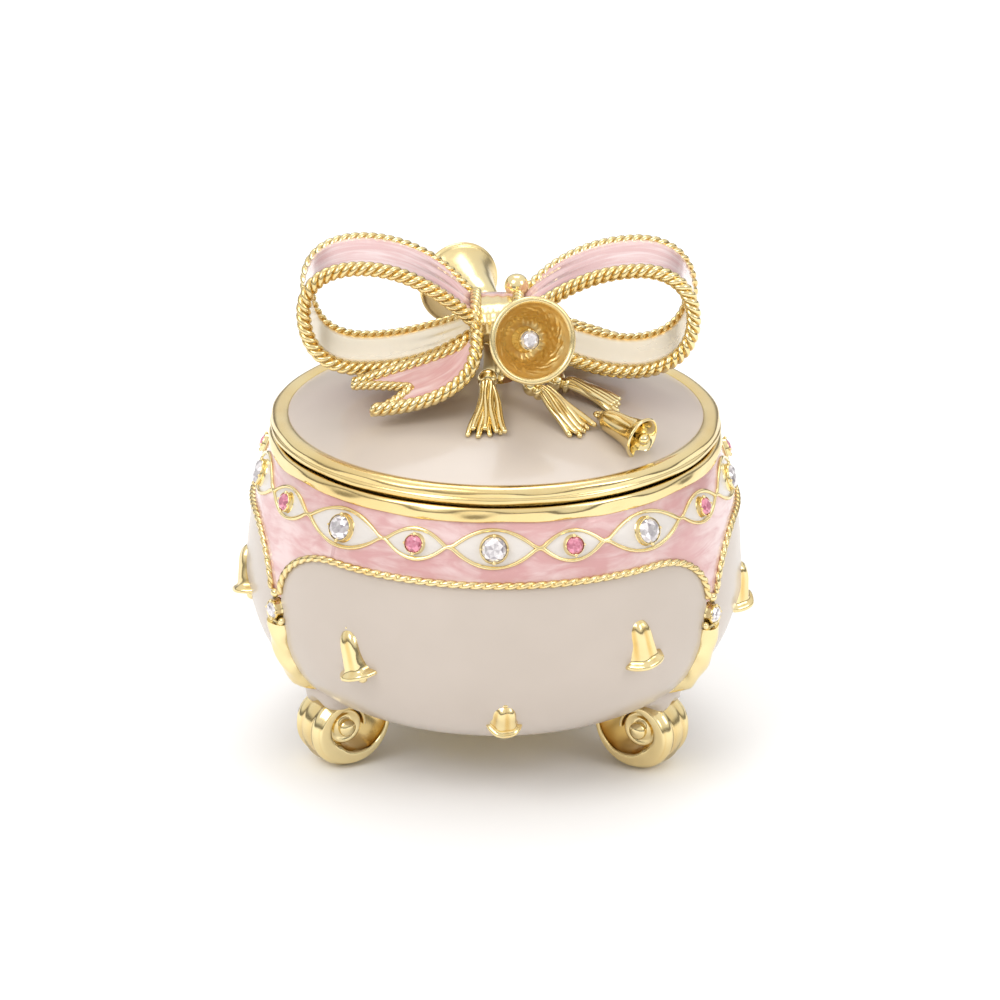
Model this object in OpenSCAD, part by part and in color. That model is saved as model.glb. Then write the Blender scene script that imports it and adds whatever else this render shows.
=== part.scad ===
/* [Pot] */
// Largest radius of the pot, over the enamel
body_r = 30.5; // [28:0.5:33]
// Height of the widest ring of the pot
belly_z = 25; // [24:0.5:26]
// Height of the underside of the pot above the table
body_floor = 5.5; // [5:0.25:6]
// Fullness of the lower half, where 2 is an ellipse and more is squarer
fullness = 2.95; // [2.6:0.05:3.2]
// How fast the shoulder draws in above the widest ring
shoulder = 0.0165; // [0.014:0.0005:0.018]
// Thickness of the cast wall
wall = 1.5; // [1:0.1:2]
// Thickness of the enamel
enamel = 0.3; // [0.2:0.05:0.4]

/* [Rims] */
// Height of the top face of the pot's rim
rim_z = 40.3; // [40.2:0.1:40.4]
// Gap seen between the two rims
rim_gap = 0.5; // [0.4:0.1:0.7]
// Outer radius of the pot's rim
rim_r = 27.75; // [27.7:0.05:27.8]
// Inner radius of the pot's rim
mouth_r = 24.6; // [24.4:0.1:24.8]

/* [Lid] */
// Radius of the enamelled dome
dome_r = 26.45; // [26.3:0.05:26.5]
// Rise of the dome
dome_h = 4.7; // [4.5:0.1:5]
// Squareness of the dome, where 2 is a parabola
dome_n = 2.2; // [2:0.1:2.4]

/* [Decoration] */
// Height of the middle of the band of crystals
band_z = 35.5; // [35.2:0.1:35.8]
// Height of the top edge of the white panels
panel_top = 31.3; // [31:0.1:31.6]
// Height of the three crystals between the panels
separator_z = 22; // [21.5:0.5:22.5]
// Height of the six upper bells on the panels
bell_z = 21; // [20:0.5:22]
// Height of the three bells low on the panels
bell_low_z = 11.9; // [11.5:0.2:12.5]
// Radius of a clear crystal
clear_r = 1.6; // [1.4:0.05:1.7]
// Radius of a pink crystal
pink_r = 1.1; // [1:0.05:1.2]
// Radius of the rope along the edge of the ribbon
rope_r = 0.75; // [0.6:0.05:0.8]

/* [Feet] */
// Distance of a foot's curl from the axis
foot_at = 20.6; // [20:0.2:21]
// Width of a foot
foot_w = 7; // [6:0.5:8]

/* [Bow] */
// Width of the ribbon between its two ropes
ribbon_w = 9.6; // [9:0.2:10]
// Thickness of the ribbon
ribbon_t = 0.9; // [0.8:0.1:1.1]

/* [Hinge] */
// Radius of the hinge pin
pin_r = 0.55; // [0.5:0.05:0.6]
// Radius of a hinge knuckle
knuckle_r = 1.3; // [1.2:0.05:1.3]
// Radial clearance of the pin in the lid's knuckle
pin_clearance = 0.05; // [0.03:0.01:0.08]
// Radius of a closure magnet
magnet_r = 1.1; // [1:0.1:1.2]

/* [Hidden] */

GOLD = "#e0c477";
WHITE = "#efe4d8";
PINK = "#e6b7b7";
CLEAR = "#dfe8f0";
ROSE = "#e58aa6";
STEEL = "#9aa0a6";

hair = 0.02;                       // clearance between pieces that are soldered face to face
bond = 0.08;                       // thickness of the ground coat under the enamel
half_turn = 180;
third_turn = 120;
cell_step = 20;                    // angle between neighbouring crystals of the band
lid_z = rim_z + rim_gap;           // underside of the lid's rim
dome_z = lid_z + 1.2;              // edge of the enamelled dome
hinge_y = rim_r + knuckle_r + 0.15;
hinge_z = rim_z + rim_gap / 2;
shell_top = 38.6;                  // where the cast wall ends and the rim begins
strap_half = 1.9;                  // half the angle that a gold strap covers
corner_from = 40;                  // angle where a panel's top corner starts to round
corner_low = 23.7;                 // height where a panel's side reaches the strap
knot_x = 3;                        // half the width of the knot
knot_z = 55.8;                     // height of the knot's middle
bow_half = ribbon_w / 2;
BELL_AXIS = [0.40, -0.90, 0.18];   // the way the knot's front bell faces
BELL_FOOT = [0.7, -7.6, 55.2];     // where the front bell leaves the knot

// Shape of the pot ---------------------------------------------------------------

function drop(z) = max(0, min(0.9995, (belly_z - z) / (belly_z - body_floor)));
function body_out(z) =
  z < belly_z ? body_r * pow(1 - pow(drop(z), fullness), 1 / fullness)
              : body_r - shoulder * pow(z - belly_z, 2);
function rise(z) = -atan((body_out(z + 0.02) - body_out(z - 0.02)) / 0.04);
function meridian(z, lift) = [body_out(z) + lift * cos(rise(z)), z + lift * sin(rise(z))];
function on_skin(az, z, lift) =
  let (m = meridian(z, lift)) [m.x * sin(az), -m.x * cos(az), m.y];

// Heights between z0 and z1, packed closer together towards the underside
function steps(z0, z1, n) = [for (i = [0:n]) z0 + (z1 - z0) * (1 - cos(90 * i / n))];

// Closed section of a skin between two lifts from the outer surface
function skin_section(z0, z1, inner, outer, n) = concat(
  [for (z = steps(z0, z1, n)) meridian(z, outer)],
  [for (i = [n:-1:0]) meridian(steps(z0, z1, n)[i], inner)]
);

function dome(r) = dome_z + dome_h * (1 - pow(r / dome_r, dome_n));
function dome_steps(r0, r1, n) = [for (i = [0:n]) r0 + (r1 - r0) * i / n];

module on_body(az, z, lift = 0) {
  rotate([0, 0, az])
    translate([0, -body_out(z), z])
      rotate([90 - rise(z), 0, 0])
        translate([0, 0, lift])
          children();
}

module sector(az, angle) {
  rotate([0, 0, az - 90 - angle / 2])
    rotate_extrude(angle = angle, $fn = 96)
      children();
}

// Everything inside the outer surface of the pot, grown by a small lift
module pot_solid(lift) {
  rotate_extrude($fn = 96)
    polygon(concat([[0, 38]], [for (z = steps(body_floor + 0.05, 38, 20)) meridian(z, lift)],
      [[0, body_floor - lift]]));
}

// Surfaces carried along a path ----------------------------------------------------

function unit(v) = v / norm(v);
function bezier(p, t) =
  pow(1 - t, 3) * p[0] + 3 * pow(1 - t, 2) * t * p[1] + 3 * (1 - t) * t * t * p[2] + pow(t, 3) * p[3];
function chain(curves, n) = concat(
  [for (c = curves) for (i = [0:n - 1]) bezier(c, i / n)],
  [curves[len(curves) - 1][3]]
);
function along(path, i) = unit(path[min(i + 1, len(path) - 1)] - path[max(i - 1, 0)]);

module skinned(rings) {
  n = len(rings);
  m = len(rings[0]);
  polyhedron(
    points = [for (r = rings) each r],
    faces = concat(
      [for (i = [0:n - 2]) for (j = [0:m - 1])
        each [[i * m + j, i * m + (j + 1) % m, (i + 1) * m + (j + 1) % m],
              [i * m + j, (i + 1) * m + (j + 1) % m, (i + 1) * m + j]]],
      [[for (j = [m - 1:-1:0]) j], [for (j = [0:m - 1]) (n - 1) * m + j]]
    )
  );
}

// A thin closed slab between two grids of points, both seen with their rows upwards
module slab(outer, inner) {
  n = len(outer);
  m = len(outer[0]);
  function at(side, i, j) = side * n * m + i * m + j;
  function quad(a, b, c, d) = [[a, b, c], [a, c, d]];
  polyhedron(
    points = concat([for (r = outer) each r], [for (r = inner) each r]),
    faces = concat(
      [for (i = [0:n - 2]) for (j = [0:m - 2]) each quad(at(0, i, j), at(0, i + 1, j),
        at(0, i + 1, j + 1), at(0, i, j + 1))],
      [for (i = [0:n - 2]) for (j = [0:m - 2]) each quad(at(1, i, j), at(1, i, j + 1),
        at(1, i + 1, j + 1), at(1, i + 1, j))],
      [for (j = [0:m - 2]) each quad(at(0, 0, j), at(0, 0, j + 1), at(1, 0, j + 1), at(1, 0, j))],
      [for (j = [0:m - 2]) each quad(at(0, n - 1, j + 1), at(0, n - 1, j), at(1, n - 1, j),
        at(1, n - 1, j + 1))],
      [for (i = [0:n - 2]) each quad(at(0, i + 1, 0), at(0, i, 0), at(1, i, 0), at(1, i + 1, 0))],
      [for (i = [0:n - 2]) each quad(at(0, i, m - 1), at(0, i + 1, m - 1), at(1, i + 1, m - 1),
        at(1, i, m - 1))]
    )
  );
}

// A round rope along a path that runs mostly across the Y axis
module rope(path, r, sides = 6) {
  skinned([for (i = [0:len(path) - 1])
    let (t = along(path, i), a = unit(cross(t, [0, 1, 0])), b = cross(a, t))
    [for (j = [0:sides - 1]) path[i] + r * (cos(360 * j / sides) * a + sin(360 * j / sides) * b)]
  ]);
}

// A flat ribbon between two edge paths, with its thickness along the face normal
module ribbon(edge_a, edge_b, t) {
  skinned([for (i = [0:len(edge_a) - 1])
    let (d = along(edge_a, i), w = unit(edge_b[i] - edge_a[i]), n = unit(cross(d, w)) * t / 2)
    [edge_a[i] + n, edge_b[i] + n, edge_b[i] - n, edge_a[i] - n]
  ]);
}

// Pot ---------------------------------------------------------------------------

module body_shell() {
  color(GOLD)
    rotate_extrude($fn = 96)
      polygon(concat(
        [[0, body_floor + enamel]],
        [for (z = steps(body_floor + 0.4, shell_top, 18)) meridian(z, -enamel - bond)],
        [for (i = [14:-1:0]) meridian(steps(body_floor + 2.2, shell_top, 14)[i], -enamel - wall)],
        [[0, body_floor + enamel + wall + 0.35]]
      ));
}

module body_rim() {
  color(GOLD)
    difference() {
      rotate_extrude($fn = 96)
        polygon([[mouth_r, shell_top + hair], [rim_r - 0.35, shell_top + hair], [rim_r, 39.0],
          [rim_r, rim_z - 0.4], [rim_r - 0.3, rim_z], [mouth_r, rim_z]]);
      magnet_seat(rim_z - 0.9, 2);
    }
}

module magnet_seat(z, h) {
  translate([0, -(mouth_r + rim_r) / 2, z])
    cylinder(r = magnet_r + hair, h = h, $fn = 32);
}

// Angle of the side of a panel from its middle, at a height
function corner(z) =
  z >= panel_top ? corner_from :
  corner_from + (60 - strap_half - corner_from) *
    sqrt(1 - pow(max(0, z - corner_low) / (panel_top - corner_low), 2));

// Half the angle that is left free for the cup of a crystal between two panels, at a height
function cup_half(z) =
  let (r = pink_r + 0.5, d = min(r, abs(z - separator_z))) asin(sqrt(r * r - d * d) / body_out(z));
function panel_edge(z) = min(corner(z), 60 - cup_half(z));

PANEL_ROWS = concat(
  steps(body_floor + 0.6, separator_z - 1.7, 9),
  [for (i = [-4:4]) separator_z + 0.4 * i],
  [for (i = [0:8]) corner_low + (panel_top - corner_low) * sin(90 * i / 8)]
);
function panel_grid(lift) = [for (z = PANEL_ROWS) [for (j = [-12:12])
  on_skin(panel_edge(z) * j / 12, z, lift)]];

module panel(az) {
  color(WHITE)
    rotate([0, 0, az])
      slab(panel_grid(0), panel_grid(-enamel));
}

// Outline, seen face on, of the pink tongue that runs down between two panels
function tongue_half() = [for (i = [0:8])
  let (z = corner_low + (panel_top - corner_low) * sin(90 * i / 8))
  [(body_out(z) - enamel) * sin(60 - corner(z)) - 0.2, z]
];

module tongue_outline() {
  outline = tongue_half();
  rotate([90, 0, 0])
    linear_extrude(40)
      polygon(concat(outline, [for (i = [8:-1:0]) [-outline[i].x, outline[i].y]]));
}

module band_enamel() {
  color(PINK) {
    rotate_extrude($fn = 96)
      polygon(skin_section(panel_top + hair, shell_top, -enamel, 0, 6));
    for (az = [60, half_turn, 300])
      rotate([0, 0, az])
        intersection() {
          sector(0, 40)
            polygon(skin_section(corner_low - 1, panel_top - hair, -enamel, 0, 6));
          tongue_outline();
        }
  }
}

// The rope round a panel: up one side, over the top and down the other
function border_path() = concat(
  [for (i = [1:9]) let (z = corner_low + (panel_top - corner_low) * sin(90 * i / 9)) [-corner(z), z]],
  [for (a = [-32:8:32]) [a, panel_top]],
  [for (i = [9:-1:1]) let (z = corner_low + (panel_top - corner_low) * sin(90 * i / 9)) [corner(z), z]]
);

module border(az) {
  way = border_path();
  n = len(way);
  color(GOLD)
    rotate([0, 0, az])
      skinned([for (i = [0:n - 1])
        let (
          p = on_skin(way[i].x, way[i].y, hair),
          q = on_skin(way[i].x, way[i].y, 1),
          t = unit(on_skin(way[min(i + 1, n - 1)].x, way[min(i + 1, n - 1)].y, 0)
            - on_skin(way[max(i - 1, 0)].x, way[max(i - 1, 0)].y, 0)),
          up = unit(q - p),
          side = cross(t, up)
        )
        [for (k = [0:4]) p + up * (0.06 + 0.5 * sin(45 * k)) + side * 0.36 * cos(45 * k)]
      ]);
}

module strap(az) {
  sector(az, 2 * strap_half - 0.2)
    polygon(skin_section(body_floor + 1.2, separator_z - 1.8, -enamel, 0.5, 10));
}

module straps() {
  color(GOLD)
    difference() {
      for (az = [60, half_turn, 300])
        strap(az);
      for (az = [60, half_turn, 300])
        foot_blank(az, 0.05);
    }
}

// Feet: a band that comes down from the pot, rolls outwards and curls in on itself ------

function curl(q) = [foot_at, 4.45] + (1.1 + 3.5 * pow(q, 0.7)) * [cos(180 - 360 * q), sin(180 - 360 * q)];
function curl_side(q) = [cos(180 - 360 * q), sin(180 - 360 * q)];

module foot_outline(grow) {
  translate([foot_at, 4.45])
    circle(r = 1.5 + grow, $fn = 24);
  polygon(concat(
    [for (i = [0:26]) let (q = i * 1.08 / 26) curl(q) + (0.65 + grow) * curl_side(q)],
    [for (i = [26:-1:0]) let (q = i * 1.08 / 26) curl(q) - (0.65 + grow) * curl_side(q)]
  ));
}

module foot_blank(az, grow) {
  rotate([0, 0, az - 90])
    rotate([90, 0, 0])
      linear_extrude(foot_w + 2 * grow, center = true)
        foot_outline(grow);
}

module foot(az) {
  color(GOLD)
    difference() {
      foot_blank(az, 0);
      pot_solid(0.03);
      translate([-60, -60, -20])
        cube([120, 120, 20]);
    }
}

// The band of crystals -------------------------------------------------------------

// Outline of an eye: two bows that meet in points, as angle and height
function eye(half_angle, half_height, n) = [for (i = [0:2 * n - 1])
  let (u = i <= n ? -1 + 2 * i / n : 3 - 2 * i / n, s = i <= n ? 1 : -1)
  [half_angle * u, s * half_height * (1 - u * u)]
];

function eye_angle(i) = i % 2 == 0 ? 11.3 : 8.4;
function eye_height(i) = i % 2 == 0 ? 2.55 : 2.0;

module eye_wire(i) {
  wire = 0.35;
  n = 8;
  outer = eye(eye_angle(i), eye_height(i), n);
  inner = eye(eye_angle(i) - 1.1, eye_height(i) - wire, n);
  m = 2 * n;
  function at(p, lift) = on_skin(cell_step * i + p.x, band_z + p.y * cos(rise(band_z)), lift);
  polyhedron(
    points = concat([for (p = outer) at(p, hair)], [for (p = outer) at(p, 0.4)],
      [for (p = inner) at(p, 0.4)], [for (p = inner) at(p, hair)]),
    faces = [for (k = [0:3]) for (j = [0:m - 1])
      each [[k * m + j, k * m + (j + 1) % m, ((k + 1) % 4) * m + (j + 1) % m],
            [k * m + j, ((k + 1) % 4) * m + (j + 1) % m, ((k + 1) % 4) * m + j]]]
  );
}

module eye_wires() {
  color(GOLD)
    for (i = [0:17])
      eye_wire(i);
}

module eye_fill(i) {
  n = 6;
  rim = eye(eye_angle(i) - 1.4, eye_height(i) - 0.45, n);
  m = 2 * n;
  function at(p, lift) = on_skin(cell_step * i + p.x, band_z + p.y * cos(rise(band_z)), lift);
  polyhedron(
    points = concat([for (p = rim) at(p, hair)], [for (p = rim) at(p, 0.22)],
      [at([0, 0], hair), at([0, 0], 0.22)]),
    faces = concat(
      [for (j = [0:m - 1]) each [[j, (j + 1) % m, m + (j + 1) % m], [j, m + (j + 1) % m, m + j]]],
      [for (j = [0:m - 1]) each [[m + j, m + (j + 1) % m, 2 * m + 1], [(j + 1) % m, j, 2 * m]]]
    )
  );
}

module eye_enamel() {
  color(WHITE)
    for (i = [0:17])
      eye_fill(i);
}

module crystal(r) {
  cylinder(r = r, h = 0.3, $fn = 32);
  translate([0, 0, 0.3])
    cylinder(r1 = r, r2 = 0.58 * r, h = 0.35 * r, $fn = 32);
}

module cup(r, h) {
  rotate_extrude($fn = 32)
    polygon([[0, 0], [r + 0.4, 0], [r + 0.4, h - 0.2], [r + 0.22, h], [r + 0.04, h],
      [r + 0.04, h - 0.45], [0, h - 0.45]]);
}

module band_set(first, lift) {
  for (i = [first:2:17])
    on_body(cell_step * i, band_z, lift)
      children();
}

module cups_clear() { color(GOLD) band_set(0, 0.3) cup(clear_r, 0.95); }
module cups_pink() { color(GOLD) band_set(1, 0.3) cup(pink_r, 0.95); }
module crystals_clear() { color(CLEAR) band_set(0, 0.82) crystal(clear_r); }
module crystals_pink() { color(ROSE) band_set(1, 0.82) crystal(pink_r); }

module separator_cups() {
  color(GOLD)
    for (az = [60, half_turn, 300])
      on_body(az, separator_z, -0.28)
        cup(pink_r, 1.2);
}

module separator_crystals() {
  color(CLEAR)
    for (az = [60, half_turn, 300])
      on_body(az, separator_z, 0.49)
        crystal(pink_r);
}

// Bells -----------------------------------------------------------------------------

// Half section of a small solid bell, crown at the top
function bell_half(h, r) = [[0, 0], [0.9 * r, 0], [r, 0.04 * h], [0.98 * r, 0.12 * h], [0.76 * r, 0.3 * h],
  [0.62 * r, 0.55 * h], [0.52 * r, 0.78 * h], [0.32 * r, 0.9 * h], [0.24 * r, 0.92 * h],
  [0.24 * r, h], [0, h]];

module solid_bell(h, r) {
  rotate_extrude($fn = 32)
    polygon(bell_half(h, r));
  translate([0, 0, -0.05 * h])
    sphere(r = 0.3 * r, $fn = 20);
}

// A bell cast on the side of the pot, its mouth hanging down and turned a little
module relief_bell(az, z, turn) {
  difference() {
    on_body(az, z, -0.9)
      rotate([-90, 0, turn])
        translate([0, 0, -2.7])
          solid_bell(5.4, 2.7);
    pot_solid(0.03);
  }
}

module bells_upper() {
  color(GOLD)
    for (az = [0, third_turn, 240], side = [-1, 1])
      relief_bell(az + side * 34, bell_z, 11 - 3 * side);
}

module bells_lower() {
  color(GOLD)
    for (az = [0, third_turn, 240])
      relief_bell(az + 2, bell_low_z, 0);
}

// Hinge and closure -------------------------------------------------------------------

module knuckle(x, w, bore) {
  translate([x, hinge_y, hinge_z])
    rotate([0, 90, 0])
      difference() {
        cylinder(r = knuckle_r, h = w, $fn = 48);
        translate([0, 0, -1])
          cylinder(r = bore, h = w + 2, $fn = 48);
      }
}

module leaf(x, w, z, h, clear_of) {
  difference() {
    translate([x, 26, z])
      cube([w, hinge_y - 26, h]);
    translate([0, 0, z - 1])
      cylinder(r = clear_of, h = h + 2, $fn = 96);
    translate([x - 1, hinge_y, hinge_z])
      rotate([0, 90, 0])
        cylinder(r = knuckle_r - 0.1, h = w + 2, $fn = 48);
  }
}

module hinge_body() {
  color(GOLD)
    for (x = [-6, 2.1]) {
      knuckle(x, 3.9, pin_r + 0.01);
      leaf(x, 3.9, shell_top + 0.3, rim_z - shell_top - 0.5, rim_r + 0.02);
    }
}

module hinge_lid() {
  color(GOLD) {
    knuckle(-2, 4, pin_r + pin_clearance);
    leaf(-2, 4, lid_z + 0.15, 1, rim_r + 0.02);
  }
}

module hinge_pin() {
  color(STEEL)
    translate([-6.1, hinge_y, hinge_z])
      rotate([0, 90, 0])
        cylinder(r = pin_r, h = 12.2, $fn = 48);
}

module magnet(z) {
  color(STEEL)
    translate([0, -(mouth_r + rim_r) / 2, z])
      cylinder(r = magnet_r, h = 0.85, $fn = 32);
}

// Lid ---------------------------------------------------------------------------------

module lid_shell() {
  inner_r = mouth_r - 0.35;
  color(GOLD)
    difference() {
      rotate_extrude($fn = 96)
        polygon(lid_section(inner_r));
      magnet_seat(lid_z - 1, 1.9);
    }
}

// Section of the lid: dome outside, then the ring that drops into the mouth, then the hollow
function lid_section(inner_r) = concat(
  [for (r = dome_steps(0, dome_r - 0.1, 14)) [r, dome(r) - enamel - hair]],
  [[dome_r - 0.1, lid_z + 0.45], [inner_r, lid_z + 0.45], [inner_r, rim_z - 0.8],
    [inner_r - 0.7, rim_z - 0.8]],
  [for (i = [12:-1:0]) let (r = (inner_r - 0.7) * i / 12)
    [r, lid_z + 0.45 + (dome_h - 1.2) * (1 - pow(r / inner_r, dome_n))]]
);

module lid_rim() {
  color(GOLD)
    difference() {
      rotate_extrude($fn = 96)
        polygon([[inner_rim(), lid_z], [rim_r - 0.4, lid_z], [rim_r - 0.13, lid_z + 0.3],
          [rim_r - 0.13, lid_z + 0.95], [rim_r - 0.45, lid_z + 1.35], [dome_r + 0.45, lid_z + 1.55],
          [dome_r + 0.1, lid_z + 1.4], [dome_r, lid_z + 0.43], [inner_rim(), lid_z + 0.43]]);
      magnet_seat(lid_z - 1, 1.9);
    }
}

function inner_rim() = mouth_r + 0.1;

module lid_enamel() {
  color(WHITE)
    rotate_extrude($fn = 96)
      polygon(concat(
        [for (r = dome_steps(1.75, dome_r - 0.05, 14)) [r, dome(r)]],
        [for (i = [14:-1:0]) let (r = dome_steps(1.75, dome_r - 0.05, 14)[i]) [r, dome(r) - enamel]]
      ));
}

// Bow -----------------------------------------------------------------------------------

// Middle line of each loop in the XZ plane, from the top of the knot round to its underside
LOOP_LEFT = [
  [[-2.5, 57.6], [-6, 61.6], [-10, 63.6], [-15.2, 63.6]],
  [[-15.2, 63.6], [-21, 63.6], [-24.3, 59.5], [-24.3, 55.3]],
  [[-24.3, 55.3], [-24.3, 52.2], [-21, 50.1], [-17.6, 50.1]],
  [[-17.6, 50.1], [-13, 50.1], [-6, 52.4], [-2.5, 54.4]]
];
LOOP_RIGHT = [
  [[2.5, 57.6], [6, 61.1], [11, 63.3], [17.3, 63.3]],
  [[17.3, 63.3], [22.5, 63.3], [25.3, 59.8], [25.3, 55.6]],
  [[25.3, 55.6], [25.3, 52], [21.5, 49.3], [16, 49.3]],
  [[16, 49.3], [11, 49.3], [6, 52], [2.5, 54.4]]
];

function beside(path, d) = [for (i = [0:len(path) - 1])
  let (t = along(path, i)) path[i] + d * [t.y, -t.x]];

module loop(curves) {
  line = chain(curves, 8);
  color(PINK)
    difference() {
      rotate([90, 0, 0])
        linear_extrude(ribbon_w, center = true)
          polygon(concat(beside(line, ribbon_t / 2), [for (i = [len(line) - 1:-1:0])
            beside(line, -ribbon_t / 2)[i]]));
      translate([-knot_x - 0.1, -20, 40])
        cube([2 * knot_x + 0.2, 40, 40]);
    }
}

module loop_ropes(curves) {
  line = [for (p = chain(curves, 8)) if (abs(p.x) > knot_x + 1.8) p];
  color(GOLD)
    for (side = [-1, 1])
      rope([for (p = line) [p.x, side * (bow_half + rope_r + 0.05), p.y]], rope_r);
}

// The two edges of the front tail, from the knot to the notched end on the lid
TAIL_BACK_EDGE = [[[-3.4, -7.2, 52.9], [-6.5, -7.2, 51.3], [-10.5, -7.2, 50.4], [-17.8, -7.4, 48.4]]];
TAIL_FRONT_EDGE = [[[-3.2, -9.2, 53.2], [-4.2, -12.2, 50.2], [-7.2, -14.6, 47.4], [-15.4, -12.4, 45.9]]];

module tail() {
  color(PINK)
    difference() {
      ribbon(chain(TAIL_BACK_EDGE, 14), chain(TAIL_FRONT_EDGE, 14), 0.7);
      translate([-18.6, -9.6, 40])
        linear_extrude(20)
          polygon([[0, -2.4], [5.4, 0], [0, 2.4]]);
    }
}

module tail_ropes() {
  shift = [0, 0, 1.1];
  color(GOLD)
    for (edge = [TAIL_BACK_EDGE, TAIL_FRONT_EDGE])
      rope([for (p = chain(edge, 14)) p + shift], 0.6);
}

module opposite() {
  rotate([0, 0, half_turn])
    children();
}

module bow_post() {
  color(GOLD)
    translate([0, 0, dome(0) - enamel])
      cylinder(r = 1.7, h = knot_z - 4.02 - dome(0) + enamel, $fn = 32);
}

// The knot: a short tube of ribbon, rounded in section
function knot_section(grow) = [for (a = [0:15:345])
  [(6.6 + grow) * sign(sin(a)) * pow(abs(sin(a)), 0.8), (4 + grow) * sign(cos(a)) * pow(abs(cos(a)), 0.8)]];

module knot_slab(x, w, grow) {
  translate([x, 0, knot_z])
    rotate([90, 0, 90])
      linear_extrude(w)
        polygon(knot_section(grow));
}

module bow_knot() {
  color(PINK)
    knot_slab(-knot_x + 1.25, 2 * knot_x - 2.5, 0);
}

module knot_ropes() {
  color(GOLD)
    for (x = [-knot_x, knot_x - 1.2])
      knot_slab(x, 1.2, 0.2);
}

// Turns +Z to the way that the front bell faces, from where it leaves the knot
module at_front_bell() {
  translate(BELL_FOOT)
    rotate([0, acos(unit(BELL_AXIS).z), atan2(BELL_AXIS.y, BELL_AXIS.x)])
      children();
}

module open_bell() {
  rotate_extrude($fn = 48)
    polygon([[0, 0], [1.6, 0], [2.1, 0.7], [2.6, 2.2], [3.2, 4.2], [4.2, 6.6], [5.1, 7.8], [5.2, 8.2],
      [4.7, 8.3], [3.7, 6.9], [2.7, 4.6], [2.0, 2.6], [0, 2.0]]);
}

module bell() { color(GOLD) at_front_bell() open_bell(); }

module bell_cup() {
  color(GOLD)
    at_front_bell()
      translate([0, 0, 2.3]) {
        cylinder(r = 0.8, h = 2.8, $fn = 24);
        translate([0, 0, 2.7])
          cup(1.2, 0.9);
      }
}

module bell_crystal() {
  color(CLEAR)
    at_front_bell()
      translate([0, 0, 5.5])
        crystal(1.2);
}

module knot_bead() {
  color(GOLD)
    translate([2.4, 3.2, 61.55])
      sphere(r = 1.5, $fn = 32);
}

// Turns +Z to the way from one point to another
module aim(from, to) {
  d = to - from;
  translate(from)
    rotate([0, acos(d.z / norm(d)), atan2(d.y, d.x)])
      children();
}

module tassel(from, to, end_r) {
  h = norm(to - from);
  color(GOLD)
    aim(from, to)
      rotate_extrude($fn = 32)
        polygon([[0, 0], [0.7, 0.1], [1, 0.7], [0.8, 1.3], [0.6, 1.6], [0.85, 1.9], [0.7, 2.3],
          [end_r, h], [0, h]]);
}

LID_BELL_FROM = [12.8, -11.9, 46.6];
LID_BELL_TO = [17.6, -17.4, 45.5];

module lid_bell() {
  color(GOLD)
    aim(LID_BELL_FROM, LID_BELL_TO)
      rotate_extrude($fn = 48)
        polygon([[0, 0], [0.5, 0], [0.55, 0.7], [1.2, 1.3], [1.5, 2.4], [1.75, 4.4], [2.2, 6],
          [2.6, 6.9], [2.55, 7.2], [2.2, 7], [1.6, 5.8], [1.2, 4.2], [0, 3.6]]);
}

module lid_bell_clapper() {
  color(GOLD)
    aim(LID_BELL_FROM, LID_BELL_TO) {
      translate([0, 0, 3.8])
        cylinder(r = 0.3, h = 3, $fn = 16);
      translate([0, 0, 7])
        sphere(r = 0.7, $fn = 24);
    }
}

body_shell();
body_rim();
panel(0);  // panel_front
panel(-third_turn);  // panel_left
panel(third_turn);  // panel_right
band_enamel();
border(0);  // rope_front
border(-third_turn);  // rope_left
border(third_turn);  // rope_right
eye_wires();
eye_enamel();
cups_clear();
cups_pink();
crystals_clear();
crystals_pink();
separator_cups();
separator_crystals();
straps();
foot(-60);  // foot_left
foot(60);  // foot_right
foot(half_turn);  // foot_back
bells_upper();
bells_lower();
hinge_body();
hinge_pin();
magnet(rim_z - 0.87);  // magnet_body
lid_shell();
lid_rim();
lid_enamel();
hinge_lid();
magnet(lid_z + 0.02);  // magnet_lid
bow_post();
bow_knot();
knot_ropes();
loop(LOOP_LEFT);  // bow_loop_left
loop(LOOP_RIGHT);  // bow_loop_right
loop_ropes(LOOP_LEFT);  // loop_ropes_left
loop_ropes(LOOP_RIGHT);  // loop_ropes_right
tail();  // bow_tail_front
opposite() tail();  // bow_tail_back
tail_ropes();  // tail_ropes_front
opposite() tail_ropes();  // tail_ropes_back
bell();  // bell_front
opposite() bell();  // bell_back
bell_cup();  // bell_cup_front
opposite() bell_cup();  // bell_cup_back
bell_crystal();  // bell_crystal_front
opposite() bell_crystal();  // bell_crystal_back
knot_bead();
tassel([-1, -7.4, 49.6], [-1, -16.6, 46.5], 1.3);  // tassel_left
tassel([4, -8.4, 49], [10.6, -14.6, 46.4], 1.2);  // tassel_middle
tassel([6.6, -3.2, 48], [13.6, -5.8, 46.8], 1);  // tassel_right
lid_bell();
lid_bell_clapper();
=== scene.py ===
"""A footed, enamelled trinket box with a ribbon bow, bells, tassels and crystals, built on its frame.

Shapes are worked out in millimetres and put into their meshes in metres. Azimuth 0 is the front, at -Y.
"""

import math

import bmesh
import bpy
import numpy as np
from bpy.props import FloatProperty, FloatVectorProperty, PointerProperty
from mathutils import Matrix, Vector


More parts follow.
